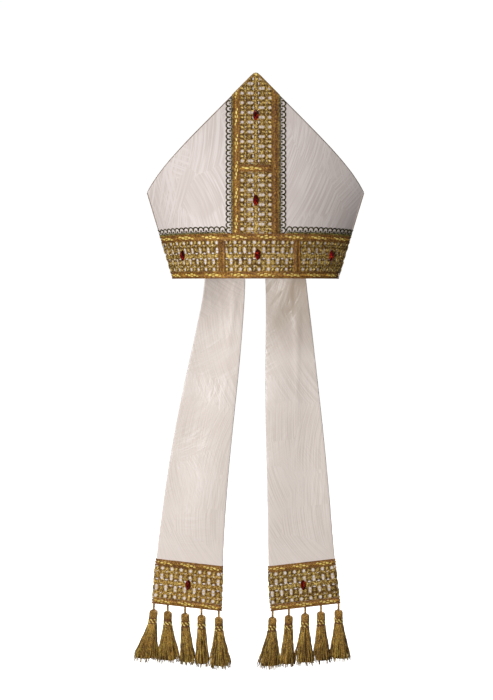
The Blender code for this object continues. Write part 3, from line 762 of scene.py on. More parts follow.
def make_thread_finish(name, dark, color, light, metallic, roughness, fleck_size=FLECK_SIZE, shine=0.5):
    """Thread, and the plain lining and the settings too: fine slanting plies, with dull and bright flecks
    of painted shade and painted glints, and a slower change of tone."""
    tree, shader = new_finish(name, roughness, metallic, Specular_IOR_Level=shine)
    place = add_node(tree, "ShaderNodeTexCoord").outputs["Object"]
    plies = bands(tree, place, PLIES_SCALE, "DIAGONAL", 1.5, 1.0)
    fleck = noise(tree, place, 1 / fleck_size, 1.0)
    tone = noise(tree, place, 80.0, 1.0)
    level = reckon(tree, "MULTIPLY", plies, 0.16)
    # The flecks paint glints and shade into the colour
    level = reckon(tree, "MULTIPLY_ADD", fleck, 0.64, level)
    level = reckon(tree, "MULTIPLY_ADD", tone, 0.20, level)
    color = ramp(tree, level, (0.37, dark), (0.50, color), (0.63, light))
    tree.links.new(color, shader.inputs["Base Color"])
    bumped(tree, shader, reckon(tree, "ADD", plies, fleck), 0.2 * MM)


def make_stone_finish(stones):
    """Deep red cut glass. A few of its facets flash with a painted reflection of light from inside, the
    others are painted dark red or red at random, and the stone has a painted glow.
    """
    tree, shader = new_finish("red_glass", 0.06, IOR=1.5)
    facing = add_node(tree, "ShaderNodeNewGeometry").outputs["True Normal"]
    place = add_node(tree, "ShaderNodeTexCoord").outputs["Object"]
    patch = arrow(tree, "SNAP", place, (40 * MM, 40 * MM, 40 * MM))
    facet = arrow(tree, "ADD", arrow(tree, "SNAP", facing, (0.02, 0.02, 0.02)), patch)
    chance = add_node(tree, "ShaderNodeTexWhiteNoise", (("Vector", facet),)).outputs["Value"]
    bright = toned(stones.color, 2.6)
    color = ramp(tree, chance, (0.0, stones.deep_color), (0.42, stones.deep_color), (0.55, stones.color),
                 (0.86, stones.color), (0.90, bright), (0.945, bright), (0.96, stones.painted_flash_color))
    tree.links.new(color, shader.inputs["Base Color"])
    tree.links.new(color, shader.inputs["Emission Color"])
    # Painted glow: the stone gives off its facet colours as light
    shader.inputs["Emission Strength"].default_value = stones.glow


# Pieces of cloth, with the dark cords on their edges that stand for the shade of the turned edges: painted
# shade
EDGE_CORD_STEPS = 160
SEAM_CORD_STEPS = 40
SEAM_CORD_RADIUS = 0.85 * MM
SEAM_CORD_SETBACK = 0.5 * MM
LAPPET_CORD_RADIUS = 0.6 * MM
# The binding is finest at the peak, and grows to its full size at a distance from it
BINDING_STEPS = 60
BINDING_PEAK_RADIUS = 1.4 * MM
BINDING_GROWTH = 0.7 * MM
BINDING_GROWTH_REACH = 6 * MM
# A lappet's long wave, and the creases below the rim: how far right of its middle each starts,
# how fast it drifts left on its way down, its half width and its share of the depth
WAVE_DEPTH = 1.3 * MM
WAVE_START = 12 * MM
WAVE_GROWTH = 60 * MM
WAVE_FADE = 90 * MM
CREASE_GROWTH = 14 * MM
CREASE_FADE = 90 * MM
CREASE_DEPTHS = {"left": 1.3 * MM, "right": 2.5 * MM}
LAPPET_CREASES = (
    {"place": 14 * MM, "left_drift": -0.04, "right_drift": 0.04, "wide": 4 * MM, "share": 1.0},
    {"place": 22 * MM, "left_drift": 0.09, "right_drift": 0.09, "wide": 2.2 * MM, "share": 0.6},
)


def panel_shape():
    """A panel of even wall, flat: straight up to its shoulders, and on to its sloping edges."""
    bm = bmesh.new()
    bmesh.ops.create_grid(bm, x_segments=PANEL_COLUMNS, y_segments=2 * PANEL_ROWS, size=1)
    grid = np.array([vert.co for vert in bm.verts])
    column, row = grid[:, 0], grid[:, 1] + 1
    climb = SHOULDER_CLIMB * np.minimum(row, 1)
    across = column * half_girth(climb)
    climb = climb + (edge_climb(across) - SHOULDER_CLIMB) * np.maximum(row - 1, 0)
    for vert, x, y in zip(bm.verts, across, climb):
        vert.co = (x, y, -WALL)
    bmesh.ops.remove_doubles(bm, verts=bm.verts[:], dist=0.05 * MM)
    thicken(bm, WALL, rounding=0.7 * MM)
    mesh = shape(bm)
    for face in mesh.polygons:
        if face.center.z < -0.9 * WALL:
            face.material_index = 1
    return mesh


def build_panels():
    for label, side in SIDES.items():

        def place(across, climb, out, side=side):
            share = np.clip(across / half_girth(climb), -1, 1)
            points = on_panel(share, climb, out, side)
            points[:, 1] = side * np.minimum(points[:, 1] * side, -SEAM_GAP / 2)
            return points

        dressed(f"{label}_panel", "cloth", panel_shape(), place, ("damask", "lining"), "white_damask")
        build_edge_cord(label)
    climbs = np.linspace(UPRIGHT_FOOT + EDGING_WIDTH / 2, SHOULDER_CLIMB - SEAM_CORD_SETBACK,
                         SEAM_CORD_STEPS + 1)
    for label, hand in HANDS.items():
        route = cloth_points(np.full_like(climbs, hand), climbs) * (1, 0, 1)
        # The side seams' dark cords stand for the shade of the turned cloth: painted shade
        mesh = thread(route, SEAM_CORD_RADIUS, up=(0, 1, 0))
        finished(f"seam_cord_{label}", mesh, ("edge_thread",), "white_damask")


def build_edge_cord(label):
    """A fine dark cord, painted shade of the turned edge, along the sloping edges of a panel, from
    shoulder to shoulder over the peak, and the gold binding where the upright is folded over them, with an
    even ripple along it."""
    across = np.linspace(-1, 1, EDGE_CORD_STEPS + 1) * half_girth(SHOULDER_CLIMB)
    cord = thread(points_at(across, edge_climb(across), -WALL / 2), WALL / 2 + 0.1 * MM, sides=8)
    sewn(f"{label}_edge_cord", cord, ON_SIDE[label], ("edge_thread",), "white_damask")
    across = np.linspace(-1, 1, BINDING_STEPS + 1) * UPRIGHT_WIDTH / 2
    route = points_at(across, edge_climb(across) - 0.6 * MM, -0.9 * MM)
    radius = BINDING_PEAK_RADIUS + BINDING_GROWTH * smooth(np.abs(across) / BINDING_GROWTH_REACH)
    radius = radius * (1 + 0.06 * np.cos(math.tau * np.arange(BINDING_STEPS + 1) / 3))
    sewn(f"{label}_edge_binding", thread(route, radius, sides=10), ON_SIDE[label],
         ("binding_gold",), "gold_lace")


def place_fold(column, row, down):
    """Points of the fold, which sinks in a valley between the sloping edges of both panels. It has
    shallow waves and finer creases, which die away at its rim."""
    across = column * FOLD_END_SHARE * half_girth(SHOULDER_CLIMB)
    inside = np.full_like(across, -(WALL + LAYER_GAP + FOLD_THICK))
    edge = on_front(across, edge_climb(across) - FOLD_SETBACK, inside)
    valley = SHOULDER_HEIGHT - FOLD_SAG * (1 - column**2)
    wave = FOLD_WAVE_DEPTH * np.cos(math.pi * FOLD_WAVES * column) * (1 - column**2)
    height = valley + (edge[:, 2] - valley) * np.abs(row) ** FOLD_FULLNESS + wave * (1 - row**2)
    steep = FOLD_FULLNESS * np.abs(row) ** (FOLD_FULLNESS - 1) * (edge[:, 2] - valley)
    lean = unit(points_at(0, np.sign(row) * steep / np.abs(edge[:, 1]), -1))
    creases = 0.6 * np.sin(46 * column + 2.6 * row) + 0.4 * np.sin(25 * column - 5 * row)
    down = down - FOLD_CREASE * creases * (1 - row**2) * (1 - column**4)
    return points_at(edge[:, 0], np.abs(edge[:, 1]) * row, height) + lean * down[:, None]


def build_fold():
    """The fold, with a UV map in metres of its flat cloth."""
    columns = np.linspace(-1, 1, FOLD_COLUMNS + 1)
    mesh = plate(columns, np.linspace(-1, 1, FOLD_ROWS + 1), -FOLD_THICK, 0)
    flat = co_of(mesh)
    piece = dressed("top_fold", "cloth", mesh, lambda x, y, z: place_fold(x, y, -z), ("fold_cloth",),
                    "fold_cloth")
    width = 2 * FOLD_END_SHARE * half_girth(SHOULDER_CLIMB)
    rows = np.linspace(-1, 1, 2 * FOLD_ROWS + 1)
    lengths = []
    for column in columns:
        line = place_fold(np.full_like(rows, column), rows, np.zeros_like(rows))
        lengths.append(np.linalg.norm(np.diff(line, axis=0), axis=1).sum())
    length = max(lengths)
    chart = flat[corners_of(mesh), :2] * (width / 2, length / 2)
    mesh.uv_layers["flat"].data.foreach_set("uv", chart.astype(np.float32).ravel())


def lappet_ripple(label, across, drop):
    """How far a lappet's cloth stands forward: in a long wave that dies away above the trims, and
    in soft creases that start just below the rim."""
    hand = HANDS[label]
    above_trims = LAPPET_LENGTH - LAPPET_BAND_HEIGHT - drop
    free = smooth((drop - WAVE_START) / WAVE_GROWTH) * smooth(above_trims / WAVE_FADE)
    wave = free * WAVE_DEPTH * np.sin(across * 62 + drop * (7 + 2 * hand) + 1.2 * hand)
    creases = 0
    for row in LAPPET_CREASES:
        aside = across - row["place"] + drop * row[f"{label}_drift"]
        creases = creases + row["share"] * np.exp(-((aside / row["wide"]) ** 2))
    fade = smooth(drop / CREASE_GROWTH) * np.exp(-drop / CREASE_FADE)
    return wave + CREASE_DEPTHS[label] * fade * creases


def build_lappets():
    for label in HANDS:
        bm = bmesh.new()
        bmesh.ops.create_grid(bm, x_segments=LAPPET_COLUMNS, y_segments=LAPPET_ROWS, size=1)
        for vert in bm.verts:
            drop = (1 - vert.co.y) / 2 * (LAPPET_LENGTH + LAPPET_TUCK) - LAPPET_TUCK
            vert.co = (vert.co.x * lappet_width(drop) / 2, -drop, 0)
        thicken(bm, LAPPET_THICK, rounding=0.6 * MM)

        def place(across, down, out, label=label):
            return on_lappet(label, across, down, out + lappet_ripple(label, across, -down))

        piece = dressed(f"lappet_{label}", "cloth", shape(bm), place, (f"lappet_damask_{label}",),
                        "white_damask")
        drops = np.linspace(2 * MM, LAPPET_LENGTH - LAPPET_BAND_HEIGHT, CURVE_SAMPLES)
        route = points_at(lappet_width(drops) / 2 - 0.25 * MM, -drops, 0.7 * MM)
        # A dark cord on the lappet's right edge stands for the shade of its turned edge: painted shade
        sewn(f"lappet_{label}_edge_cord", thread(route, LAPPET_CORD_RADIUS), place, ("edge_thread",),
             "white_damask")
        drops = np.linspace(-LAPPET_TUCK, LAPPET_LENGTH, CURVE_SAMPLES)
        area = float(np.trapz(lappet_width(drops), drops))


# Lace. Sizes are for a strip 41.2 mm wide with a repeat of 13.4 mm, and are drawn out to fit.
# Repeats is how many of them a strip has, and start how many repeats past its end the first lies
LACE_PITCH = 13.4 * MM
BAND_LACE = {"repeats": 47, "start": 0.07}
UPRIGHT_LACE = {"repeats": 16.5, "start": -0.81}
LAPPET_LACE = {"repeats": 15, "start": 0.45}
SPINE_STROKE_STEP = 3.1 * MM
LACE_HALF_WIDTH = 20.6 * MM
# The lace's light thread is painted highlight on its knots and stitches, and its dark ground is painted
# shade between the threads
LACE_GOLD, LACE_HIGHLIGHT, LACE_SHADE_GROUND = range(3)
NET_THICK = 0.25 * MM
THREAD_LEVEL = LAYER_GAP + NET_THICK + 0.35 * MM
KNOT_HALF_HEIGHT = 0.6 * MM
SPINE_RADIUS = 2.1 * MM
# Two bars run on each side of the spine, at this distance from it, and part and meet by turns
BAR_PLACE = 13.9 * MM
BAR_PARTING = 1.35 * MM
BAR_RADIUS = 0.7 * MM
# Each is at a phase along the repeat and a distance from the spine, with its half sizes, in mm
LACE_HOLES = (
    {"phase": 0.0, "place": 7.25, "along": 2.2, "across": 4.25},
    {"phase": 0.0, "place": 18.0, "along": 2.2, "across": 2.25},
    {"phase": 0.5, "place": 3.6, "along": 2.1, "across": 1.1},
    {"phase": 0.5, "place": 13.9, "along": 1.5, "across": 1.0},
)
LACE_LOOPS = (
    {"phase": 0.0, "place": 7.25, "along": 3.05, "across": 5.0, "thread": 0.75},
    {"phase": 0.0, "place": 18.0, "along": 3.0, "across": 2.95, "thread": 0.7},
    {"phase": 0.5, "place": 8.7, "along": 2.2, "across": 2.4, "thread": 0.75},
)
LACE_BEADS = (
    {"phase": 0.5, "place": 8.7, "along": 1.25, "across": 1.35, "turn": 0, "finish": LACE_HIGHLIGHT},
    {"phase": 0.5, "place": 17.2, "along": 2.5, "across": 0.75, "turn": 32, "finish": LACE_HIGHLIGHT},
    {"phase": 0.5, "place": 18.6, "along": 2.6, "across": 0.75, "turn": 32, "finish": LACE_HIGHLIGHT},
    {"phase": 0.5, "place": 19.7, "along": 2.0, "across": 0.6, "turn": 20, "finish": LACE_GOLD},
    {"phase": 0.25, "place": 14.2, "along": 1.9, "across": 0.65, "turn": 52, "finish": LACE_HIGHLIGHT},
    {"phase": 0.75, "place": 14.0, "along": 1.9, "across": 0.65, "turn": -52, "finish": LACE_GOLD},
    {"phase": 0.25, "place": 3.0, "along": 1.9, "across": 0.7, "turn": -48, "finish": LACE_HIGHLIGHT},
    {"phase": 0.75, "place": 3.2, "along": 1.9, "across": 0.7, "turn": 40, "finish": LACE_GOLD},
)


def net_ground():
    """One repeat of the close ground under the threads, pierced where the cloth shows through, and dark as
    painted shade between the threads.
    """
    bm = bmesh.new()
    corners = [(-0.25, -1), (0.75, -1), (0.75, 1), (-0.25, 1)]
    verts = [bm.verts.new((x * LACE_PITCH, y * LACE_HALF_WIDTH, 0)) for x, y in corners]
    for first, second in zip(verts, verts[1:] + verts[:1]):
        bm.edges.new((first, second))
    for hole in LACE_HOLES:
        for half, shift in ((1, 0.0), (-1, 0.5)):
            x = ((hole["phase"] + shift) % 1) * LACE_PITCH
            oval = bmesh.ops.create_circle(bm, segments=12, radius=MM)["verts"]
            bmesh.ops.scale(bm, vec=(hole["along"], hole["across"], 1), verts=oval)
            bmesh.ops.translate(bm, vec=(x, half * hole["place"] * MM, 0), verts=oval)
    bmesh.ops.triangle_fill(bm, edges=bm.edges[:], use_beauty=True)
    bmesh.ops.translate(bm, vec=(0, 0, LAYER_GAP), verts=bm.verts)
    thicken(bm, NET_THICK)
    return shape(bm, LACE_SHADE_GROUND)


def lace_half():
    """The raised loops and knots of one repeat, and its bar, on one side of the spine."""
    placed = []
    for row in LACE_LOOPS:
        loop = ring_thread(row["along"] * MM, row["across"] * MM, row["thread"] * MM, LACE_GOLD)
        placed.append((loop, moved(row["phase"] * LACE_PITCH, row["place"] * MM, THREAD_LEVEL)))
    for row in LACE_BEADS:
        knot = bead(row["along"] * MM, row["across"] * MM, KNOT_HALF_HEIGHT, row["finish"], sides=6,
                    rings=4)
        placed.append((knot, moved(row["phase"] * LACE_PITCH, row["place"] * MM,
                                   THREAD_LEVEL + KNOT_HALF_HEIGHT / 2, math.radians(row["turn"]))))
    bar = [(x * MM, 7.4 * MM, THREAD_LEVEL - 0.25 * MM) for x in (-2.6, 0, 2.6)]
    placed.append(in_place(thread(bar, 0.42 * MM, LACE_HIGHLIGHT, flat=0.6, sides=4)))
    return gathered(placed)


def spine_strokes(length):
    """Short slanting stitches that cover the spine of a strip, dull ones and bright ones in painted
    highlight.
    """
    dice = np.random.default_rng(3)
    stitches = [bead(1.9 * MM, 0.62 * MM, 0.42 * MM, finish, sides=6, rings=4)
                for finish in (LACE_GOLD, LACE_HIGHLIGHT)]
    placed = []
    for number in range(round(length / SPINE_STROKE_STEP)):
        for place in (-1.15 * MM, 1.1 * MM):
            turn = math.radians(dice.choice((-38, 34)) + dice.uniform(-12, 12))
            spot = (number + dice.uniform(0.25, 0.75)) * SPINE_STROKE_STEP
            level = THREAD_LEVEL + dice.uniform(-0.1, 0.15) * MM
            placed.append((stitches[int(dice.random() < 0.4)], moved(spot, place, level, turn)))
    return gathered(placed)


def lace_strip(length, half_width, lace):
    """A flat strip of lace along X: its ground, its loops on both sides of the spine, the stitches
    of the spine and the wavy bars beside it."""
    repeats = math.ceil(lace["repeats"]) + (1 if lace["start"] < 0 else 0)
    one_side = lace_half()
    threads = gathered([in_place(net_ground()), in_place(one_side),
                        (one_side, moved(x=LACE_PITCH / 2, turn=math.pi))])
    strip = shifted(repeated(threads, repeats, LACE_PITCH), x=LACE_PITCH / 4)
    whole = repeats * LACE_PITCH
    placed = [in_place(strip), in_place(spine_strokes(whole))]
    route = points_at(np.linspace(0, whole, repeats * 6 + 1), 0, THREAD_LEVEL - 0.3 * MM)
    placed.append(in_place(thread(route, SPINE_RADIUS, LACE_GOLD, flat=0.25)))
    along = np.linspace(0, whole, repeats * 12 + 1)
    phase = math.tau * (along - LACE_PITCH / 4) / LACE_PITCH
    for sign in (1, -1):
        for half in (1, -1):
            parting = sign * BAR_PARTING * (1 - half * np.cos(phase)) / 2
            route = points_at(along, half * BAR_PLACE + parting, THREAD_LEVEL)
            placed.append(in_place(thread(route, BAR_RADIUS, LACE_GOLD, flat=0.95)))
    strip = gathered(placed)
    scale = (length / (lace["repeats"] * LACE_PITCH), half_width / LACE_HALF_WIDTH, 1)
    set_co(strip, (co_of(strip) + (lace["start"] * LACE_PITCH, 0, 0)) * scale)
    return strip


def stood_up(mesh, across, foot, rise=0.0):
    """A flat strip turned to stand on a foot, at a distance from the middle line."""
    flat = co_of(mesh)
    set_co(mesh, points_at(across - flat[:, 1], foot + flat[:, 0], flat[:, 2] + rise))
    return mesh


def upright_turned(mesh, across):
    """A flat strip turned to stand up from the band, and cut off at its foot and along the sloping
    edges."""
    stood_up(mesh, across, UPRIGHT_FOOT)
    for sign in (1, -1):
        cut_along_slope(mesh, sign, PEAK_BLUNT / 2, UPRIGHT_WIDTH / 2)
    return cut_off(mesh, (0, UPRIGHT_FOOT, 0), (0, -1, 0))


def cut_along_slope(mesh, sign, inner, outer):
    """Cuts a flat piece along the sloping edge, between two distances from the middle line."""
    high, low = edge_climb(np.array((inner, outer))) - TRIM_SETBACK
    outward = Vector((sign * (high - low), outer - inner, 0)).normalized()
    return cut_off(mesh, (sign * inner, high, 0), outward)


def lace_finishes(name):
    return tuple(f"{name}_{part}" for part in ("gold", "light", "ground"))


def build_lace():
    finishes = lace_finishes("lace")
    low, high = BRAID_WIDTH + SIDE_GAP, BAND_HEIGHT - BRAID_WIDTH
    strip = shifted(lace_strip(BAND_ROUND, (high - low) / 2, BAND_LACE), y=(low + high) / 2)
    dressed("band_lace", "threads", strip, round_hat, finishes, "gold_lace")
    for label in SIDES:
        strip = upright_turned(lace_strip(PEAK_CLIMB - UPRIGHT_FOOT, UPRIGHT_LACE_REACH, UPRIGHT_LACE), 0)
        dressed(f"upright_lace_{label}", "threads", strip, ON_SIDE[label], finishes, "gold_lace")
    top = LAPPET_LENGTH - LAPPET_BAND_HEIGHT + BRAID_WIDTH + SIDE_GAP
    foot = LAPPET_LENGTH - BRAID_WIDTH - SIDE_GAP
    # The left lappet's lace is a paler copy of the same lace, as its end is lit more: painted light
    for label, name in (("left", "lit_lace"), ("right", "lace")):
        strip = shifted(lace_strip(LAPPET_ROUND, (foot - top) / 2, LAPPET_LACE), y=-(top + foot) / 2)
        dressed(f"lappet_lace_{label}", "threads", strip, ROUND_LAPPET[label], lace_finishes(name),
                "gold_lace")


# Braid. Its middle is slanting satin strokes, with stretches where a chain of raised links shows, bright
# as painted glints
BRAID_REPEAT = 36.6 * MM
BRAID_BROWN, BRAID_GOLD, BRAID_GLINT = range(3)
GLINTING_BRAID = ("braid_brown", "braid_gold", "braid_bright")
# The dividers' braid is duller in its own right; on the right braid of each upright this darker copy is
# painted shade
DULL_AND_SHADED_BRAID = ("braid_brown", "braid_dull", "braid_gold")
BRAID_GROUND_THICK = 0.4 * MM
BRAID_LEVEL = LAYER_GAP + 0.62 * MM
BRAID_STROKE_STEP = 1.66 * MM
BRAID_STROKE_TURN = math.radians(38)
# The strokes lean one way for this share of the repeat, and the other way for the rest of it
BRAID_TURNING = 0.6
STROKE_HALF_LENGTH = 2.9 * MM
# Half sizes of the gold strokes, and of the brown ones between them
BRAID_STROKES = (
    {"wide": 0.85 * MM, "high": 0.55 * MM, "finish": BRAID_GOLD},
    {"wide": 0.6 * MM, "high": 0.25 * MM, "finish": BRAID_BROWN},
)
BRAID_CORD_PLACES = (-4.4 * MM, -3.4 * MM, 3.4 * MM, 4.4 * MM)
BRAID_CORD_RADIUS = 0.5 * MM
LINK_HALF_HEIGHT = 0.42 * MM
# The chain's links: how far along the repeat and across the braid, with half sizes, in mm
BRAID_CHAIN = (
    {"along": 3.2, "place": 1.3, "long": 2.1, "wide": 0.85},
    {"along": 8.0, "place": 0.0, "long": 2.6, "wide": 1.4},
    {"along": 13.4, "place": 1.55, "long": 2.5, "wide": 0.75},
    {"along": 13.4, "place": -1.55, "long": 2.5, "wide": 0.75},
    {"along": 18.8, "place": 0.0, "long": 2.6, "wide": 1.4},
    {"along": 23.6, "place": -1.4, "long": 2.2, "wide": 0.9},
)


def braid_strip(length, chain=BRAID_GLINT):
    """A flat strip of braid along X: a ground, two ribbed cords on each edge, slanting strokes and
    a chain of uneven links over them, or none."""
    repeats = max(1, round(length / BRAID_REPEAT))
    strokes = round(BRAID_REPEAT / BRAID_STROKE_STEP)
    stitches = [bead(STROKE_HALF_LENGTH, row["wide"], row["high"], row["finish"], sides=6, rings=3)
                for row in BRAID_STROKES]
    placed = []
    for number in range(strokes):
        turn = BRAID_STROKE_TURN if number < strokes * BRAID_TURNING else -BRAID_STROKE_TURN
        placed.append((stitches[number % 2],
                       moved((number + 0.5) * BRAID_STROKE_STEP, 0, BRAID_LEVEL, turn)))
    placed = [in_place(repeated(gathered(placed), repeats, BRAID_REPEAT))]
    if chain is not None:
        placed.extend(braid_chain(repeats, chain))
    whole = repeats * BRAID_REPEAT
    rings = repeats * 36
    along = np.linspace(0, whole, rings + 1)
    rib = 1 + 0.13 * np.cos(math.tau * np.arange(rings + 1) / 2)
    for place in BRAID_CORD_PLACES:
        route = points_at(along, place, BRAID_LEVEL)
        placed.append(in_place(thread(route, BRAID_CORD_RADIUS * rib, BRAID_BROWN, sides=5)))
    columns = np.linspace(0, whole, repeats * 8 + 1)
    placed.append(in_place(plate(columns, (-BRAID_WIDTH / 2, 0, BRAID_WIDTH / 2), LAYER_GAP,
                                 LAYER_GAP + BRAID_GROUND_THICK, BRAID_BROWN)))
    return drawn_out(gathered(placed), length / whole)


def braid_chain(repeats, finish):
    """The uneven links of the chain, each a little off in size, place and turn."""
    dice = np.random.default_rng(repeats)
    placed = []
    for number in range(repeats):
        for row in BRAID_CHAIN:
            size = dice.uniform(0.84, 1.12)
            link = bead(row["long"] * size * MM, row["wide"] * size * MM, LINK_HALF_HEIGHT, finish)
            along = number * BRAID_REPEAT + (row["along"] + dice.uniform(-0.5, 0.5)) * MM
            turn = math.radians(dice.uniform(-14, 14))
            placed.append((link, moved(along, row["place"] * MM, BRAID_LEVEL + LINK_HALF_HEIGHT, turn)))
    return placed


def build_braids():
    for part, climb in (("top", BAND_HEIGHT - BRAID_WIDTH / 2), ("bottom", BRAID_WIDTH / 2)):
        strip = shifted(braid_strip(BAND_ROUND), y=climb)
        dressed(f"band_braid_{part}", "weave", strip, round_hat, GLINTING_BRAID, "gold_braid")
    low, high = BRAID_WIDTH + SIDE_GAP, BAND_HEIGHT - BRAID_WIDTH - SIDE_GAP
    for label, side in SIDES.items():
        strip = braid_strip(2 * UPRIGHT_LACE_REACH)
        shifted(strip, -UPRIGHT_LACE_REACH, CROSSBAR_CLIMB, ON_LACE_RISE)
        dressed(f"upright_crossbar_{label}", "weave", strip, ON_SIDE[label], GLINTING_BRAID, "gold_braid")
        # The right braid of each upright is a darker copy with brown links in place of bright ones:
        # painted shade
        for hand, chain, finishes in (("left", BRAID_GLINT, GLINTING_BRAID),
                                      ("right", BRAID_BROWN, DULL_AND_SHADED_BRAID)):
            sign = HANDS[hand] * side
            strip = upright_turned(braid_strip(PEAK_CLIMB - UPRIGHT_FOOT, chain),
                                   sign * (UPRIGHT_WIDTH - BRAID_WIDTH) / 2)
            dressed(f"upright_braid_{label}_{hand}", "weave", strip, ON_SIDE[label], finishes,
                    "gold_braid")
            strip = stood_up(braid_strip(high - low, chain=None), sign * DIVIDER_REACH + DIVIDER_SHIFT,
                             low, ON_LACE_RISE)
            dressed(f"band_divider_{label}_{hand}", "weave", strip, ON_SIDE[label], DULL_AND_SHADED_BRAID,
                    "gold_braid")
    top = LAPPET_LENGTH - LAPPET_BAND_HEIGHT + BRAID_WIDTH / 2
    for label in HANDS:
        for part, drop in (("upper", top), ("lower", LAPPET_LENGTH - BRAID_WIDTH / 2)):
            strip = shifted(braid_strip(LAPPET_ROUND), y=-drop)
            dressed(f"lappet_braid_{label}_{part}", "weave", strip, ROUND_LAPPET[label], GLINTING_BRAID,
                    "gold_braid")


# Looped edging
EDGING_PITCH = 7.6 * MM
EDGING_OLIVE, EDGING_GREY = range(2)
EDGING_FINISHES = ("edging_olive", "edging_grey")
EDGING_LEVEL = LAYER_GAP + 0.5 * MM
# An arch: half its width, how far from the braid it springs, and how high it rises above that
ARCH_REACH = 3.7 * MM
ARCH_SPRING = 4.9 * MM
ARCH_RISE = 4.0 * MM
ARCH_THREAD = 0.86 * MM
RING_PLACE = 3.6 * MM
# Stitches on the cords: how far along each is from an arch's middle, and how far from the braid
EDGING_STITCHES = (
    {"along": -1.2 * MM, "place": 1.3 * MM, "turn": 50},
    {"along": 2.4 * MM, "place": 1.9 * MM, "turn": -50},
)
# Cords along the edging: how far from the braid, how far they sway to each side, and in how many
# pieces each repeat of one is made
EDGING_CORDS = (
    {"place": 0.3 * MM, "sway": 0.0, "pieces": 4, "finish": EDGING_GREY},
    {"place": 1.5 * MM, "sway": 0.9 * MM, "pieces": 12, "finish": EDGING_OLIVE},
    {"place": 1.5 * MM, "sway": -0.9 * MM, "pieces": 12, "finish": EDGING_OLIVE},
)
EDGING_CORD_RADIUS = 0.38 * MM
SWAYS_A_LOOP = 1.5


def edging_strip(length):
    """A flat strip of edging along X: cords by the braid, and arched loops with a ring in each."""
    loops = round(length / EDGING_PITCH)
    turn = np.linspace(-0.12, 1.12, 15) * math.pi
    arch = points_at(-ARCH_REACH * np.cos(turn), ARCH_SPRING + ARCH_RISE * np.sin(turn), EDGING_LEVEL)
    ring = ring_thread(0.85 * MM, 0.8 * MM, 0.5 * MM, EDGING_OLIVE, steps=10)
    stitch = bead(1.0 * MM, 0.5 * MM, 0.4 * MM, EDGING_GREY, sides=6, rings=4)
    placed = [in_place(thread(arch, ARCH_THREAD, EDGING_OLIVE, flat=0.6, sides=5)),
              (ring, moved(0, RING_PLACE, EDGING_LEVEL))]
    for row in EDGING_STITCHES:
        placed.append((stitch, moved(row["along"], row["place"], EDGING_LEVEL + 0.3 * MM,
                                     math.radians(row["turn"]))))
    placed = [in_place(shifted(repeated(gathered(placed), loops, EDGING_PITCH), x=EDGING_PITCH / 2))]
    whole = loops * EDGING_PITCH
    for row in EDGING_CORDS:
        along = np.linspace(0, whole, loops * row["pieces"] + 1)
        wave = row["sway"] * np.sin(math.tau * along / EDGING_PITCH * SWAYS_A_LOOP)
        route = points_at(along, row["place"] + wave, EDGING_LEVEL + 0.1 * wave)
        placed.append(in_place(thread(route, EDGING_CORD_RADIUS, row["finish"], flat=0.75, sides=5)))
    return drawn_out(gathered(placed), length / whole)


def build_edging():
    top = float(edge_climb(EDGING_START))
    for label, side in SIDES.items():
        for hand, sign in HANDS.items():
            strip = edging_strip(top - UPRIGHT_FOOT)
            flat = co_of(strip)
            outer = EDGING_START + flat[:, 1]
            if sign * side < 0:
                set_co(strip, points_at(-outer, UPRIGHT_FOOT + flat[:, 0], flat[:, 2]))
            else:
                set_co(strip, points_at(outer, top - flat[:, 0], flat[:, 2]))
            cut_along_slope(strip, sign * side, EDGING_START, EDGING_START + EDGING_WIDTH)
            dressed(f"upright_edging_{label}_{hand}", "loops", strip, ON_SIDE[label], EDGING_FINISHES,
                    "edging_thread")
    gap = BAND_EDGING_START * half_girth(BAND_HEIGHT / 2) / half_girth(UPRIGHT_FOOT)
    for hand, start in (("left", gap), ("right", BAND_ROUND / 2 + gap)):
        strip = shifted(edging_strip(BAND_ROUND / 2 - 2 * gap), start, UPRIGHT_FOOT)
        dressed(f"band_edging_{hand}", "loops", strip, round_hat, EDGING_FINISHES, "edging_thread")


# Stones
STONE_RIDGE = 0.7 * MM
TABLE_RISE = 0.15 * MM
SETTING_RADIUS = 0.32 * MM
SETTING_FINISH = 1


def stone_shape():
    """A pointed oval stone: girdle, crown and table, with the ridges of its crown cut again."""
    bm = bmesh.new()
    bmesh.ops.create_circle(bm, segments=12, radius=1, cap_ends=True)
    for vert in bm.verts:
        narrow = abs(vert.co.x) ** STONE_POINT_SHARPNESS
        vert.co = (vert.co.x * narrow * STONE_WIDTH / 2, vert.co.y * STONE_LENGTH / 2, STONE_FLOOR)
    top = bm.faces[:]
    for rise, share in ((STONE_GIRDLE, 1), (STONE_CROWN, STONE_TABLE_SHARE)):
        grown = bmesh.ops.extrude_face_region(bm, geom=top)["geom"]
        if share < 1:
            bmesh.ops.delete(bm, geom=top, context="FACES_KEEP_BOUNDARY")
        top = [item for item in grown if isinstance(item, bmesh.types.BMFace)]
        ring = [item for item in grown if isinstance(item, bmesh.types.BMVert)]
        bmesh.ops.scale(bm, vec=(share, share, 1), verts=ring)
        bmesh.ops.translate(bm, vec=(0, 0, rise), verts=ring)
    bmesh.ops.recalc_face_normals(bm, faces=bm.faces[:])
    ridges = [edge for edge in bm.edges if abs(edge.verts[0].co.z - edge.verts[1].co.z) > STONE_CROWN / 2]
    bmesh.ops.bevel(bm, geom=ridges, offset=STONE_RIDGE, segments=1, profile=0.5, affect="EDGES",
                    material=-1, clamp_overlap=True)
    table_level = STONE_FLOOR + STONE_GIRDLE + 0.8 * STONE_CROWN
    table = [face for face in bm.faces if face.calc_center_median().z > table_level]
    bmesh.ops.poke(bm, faces=table, offset=TABLE_RISE)
    mesh = shape(bm)
    mesh.shade_flat()
    return mesh


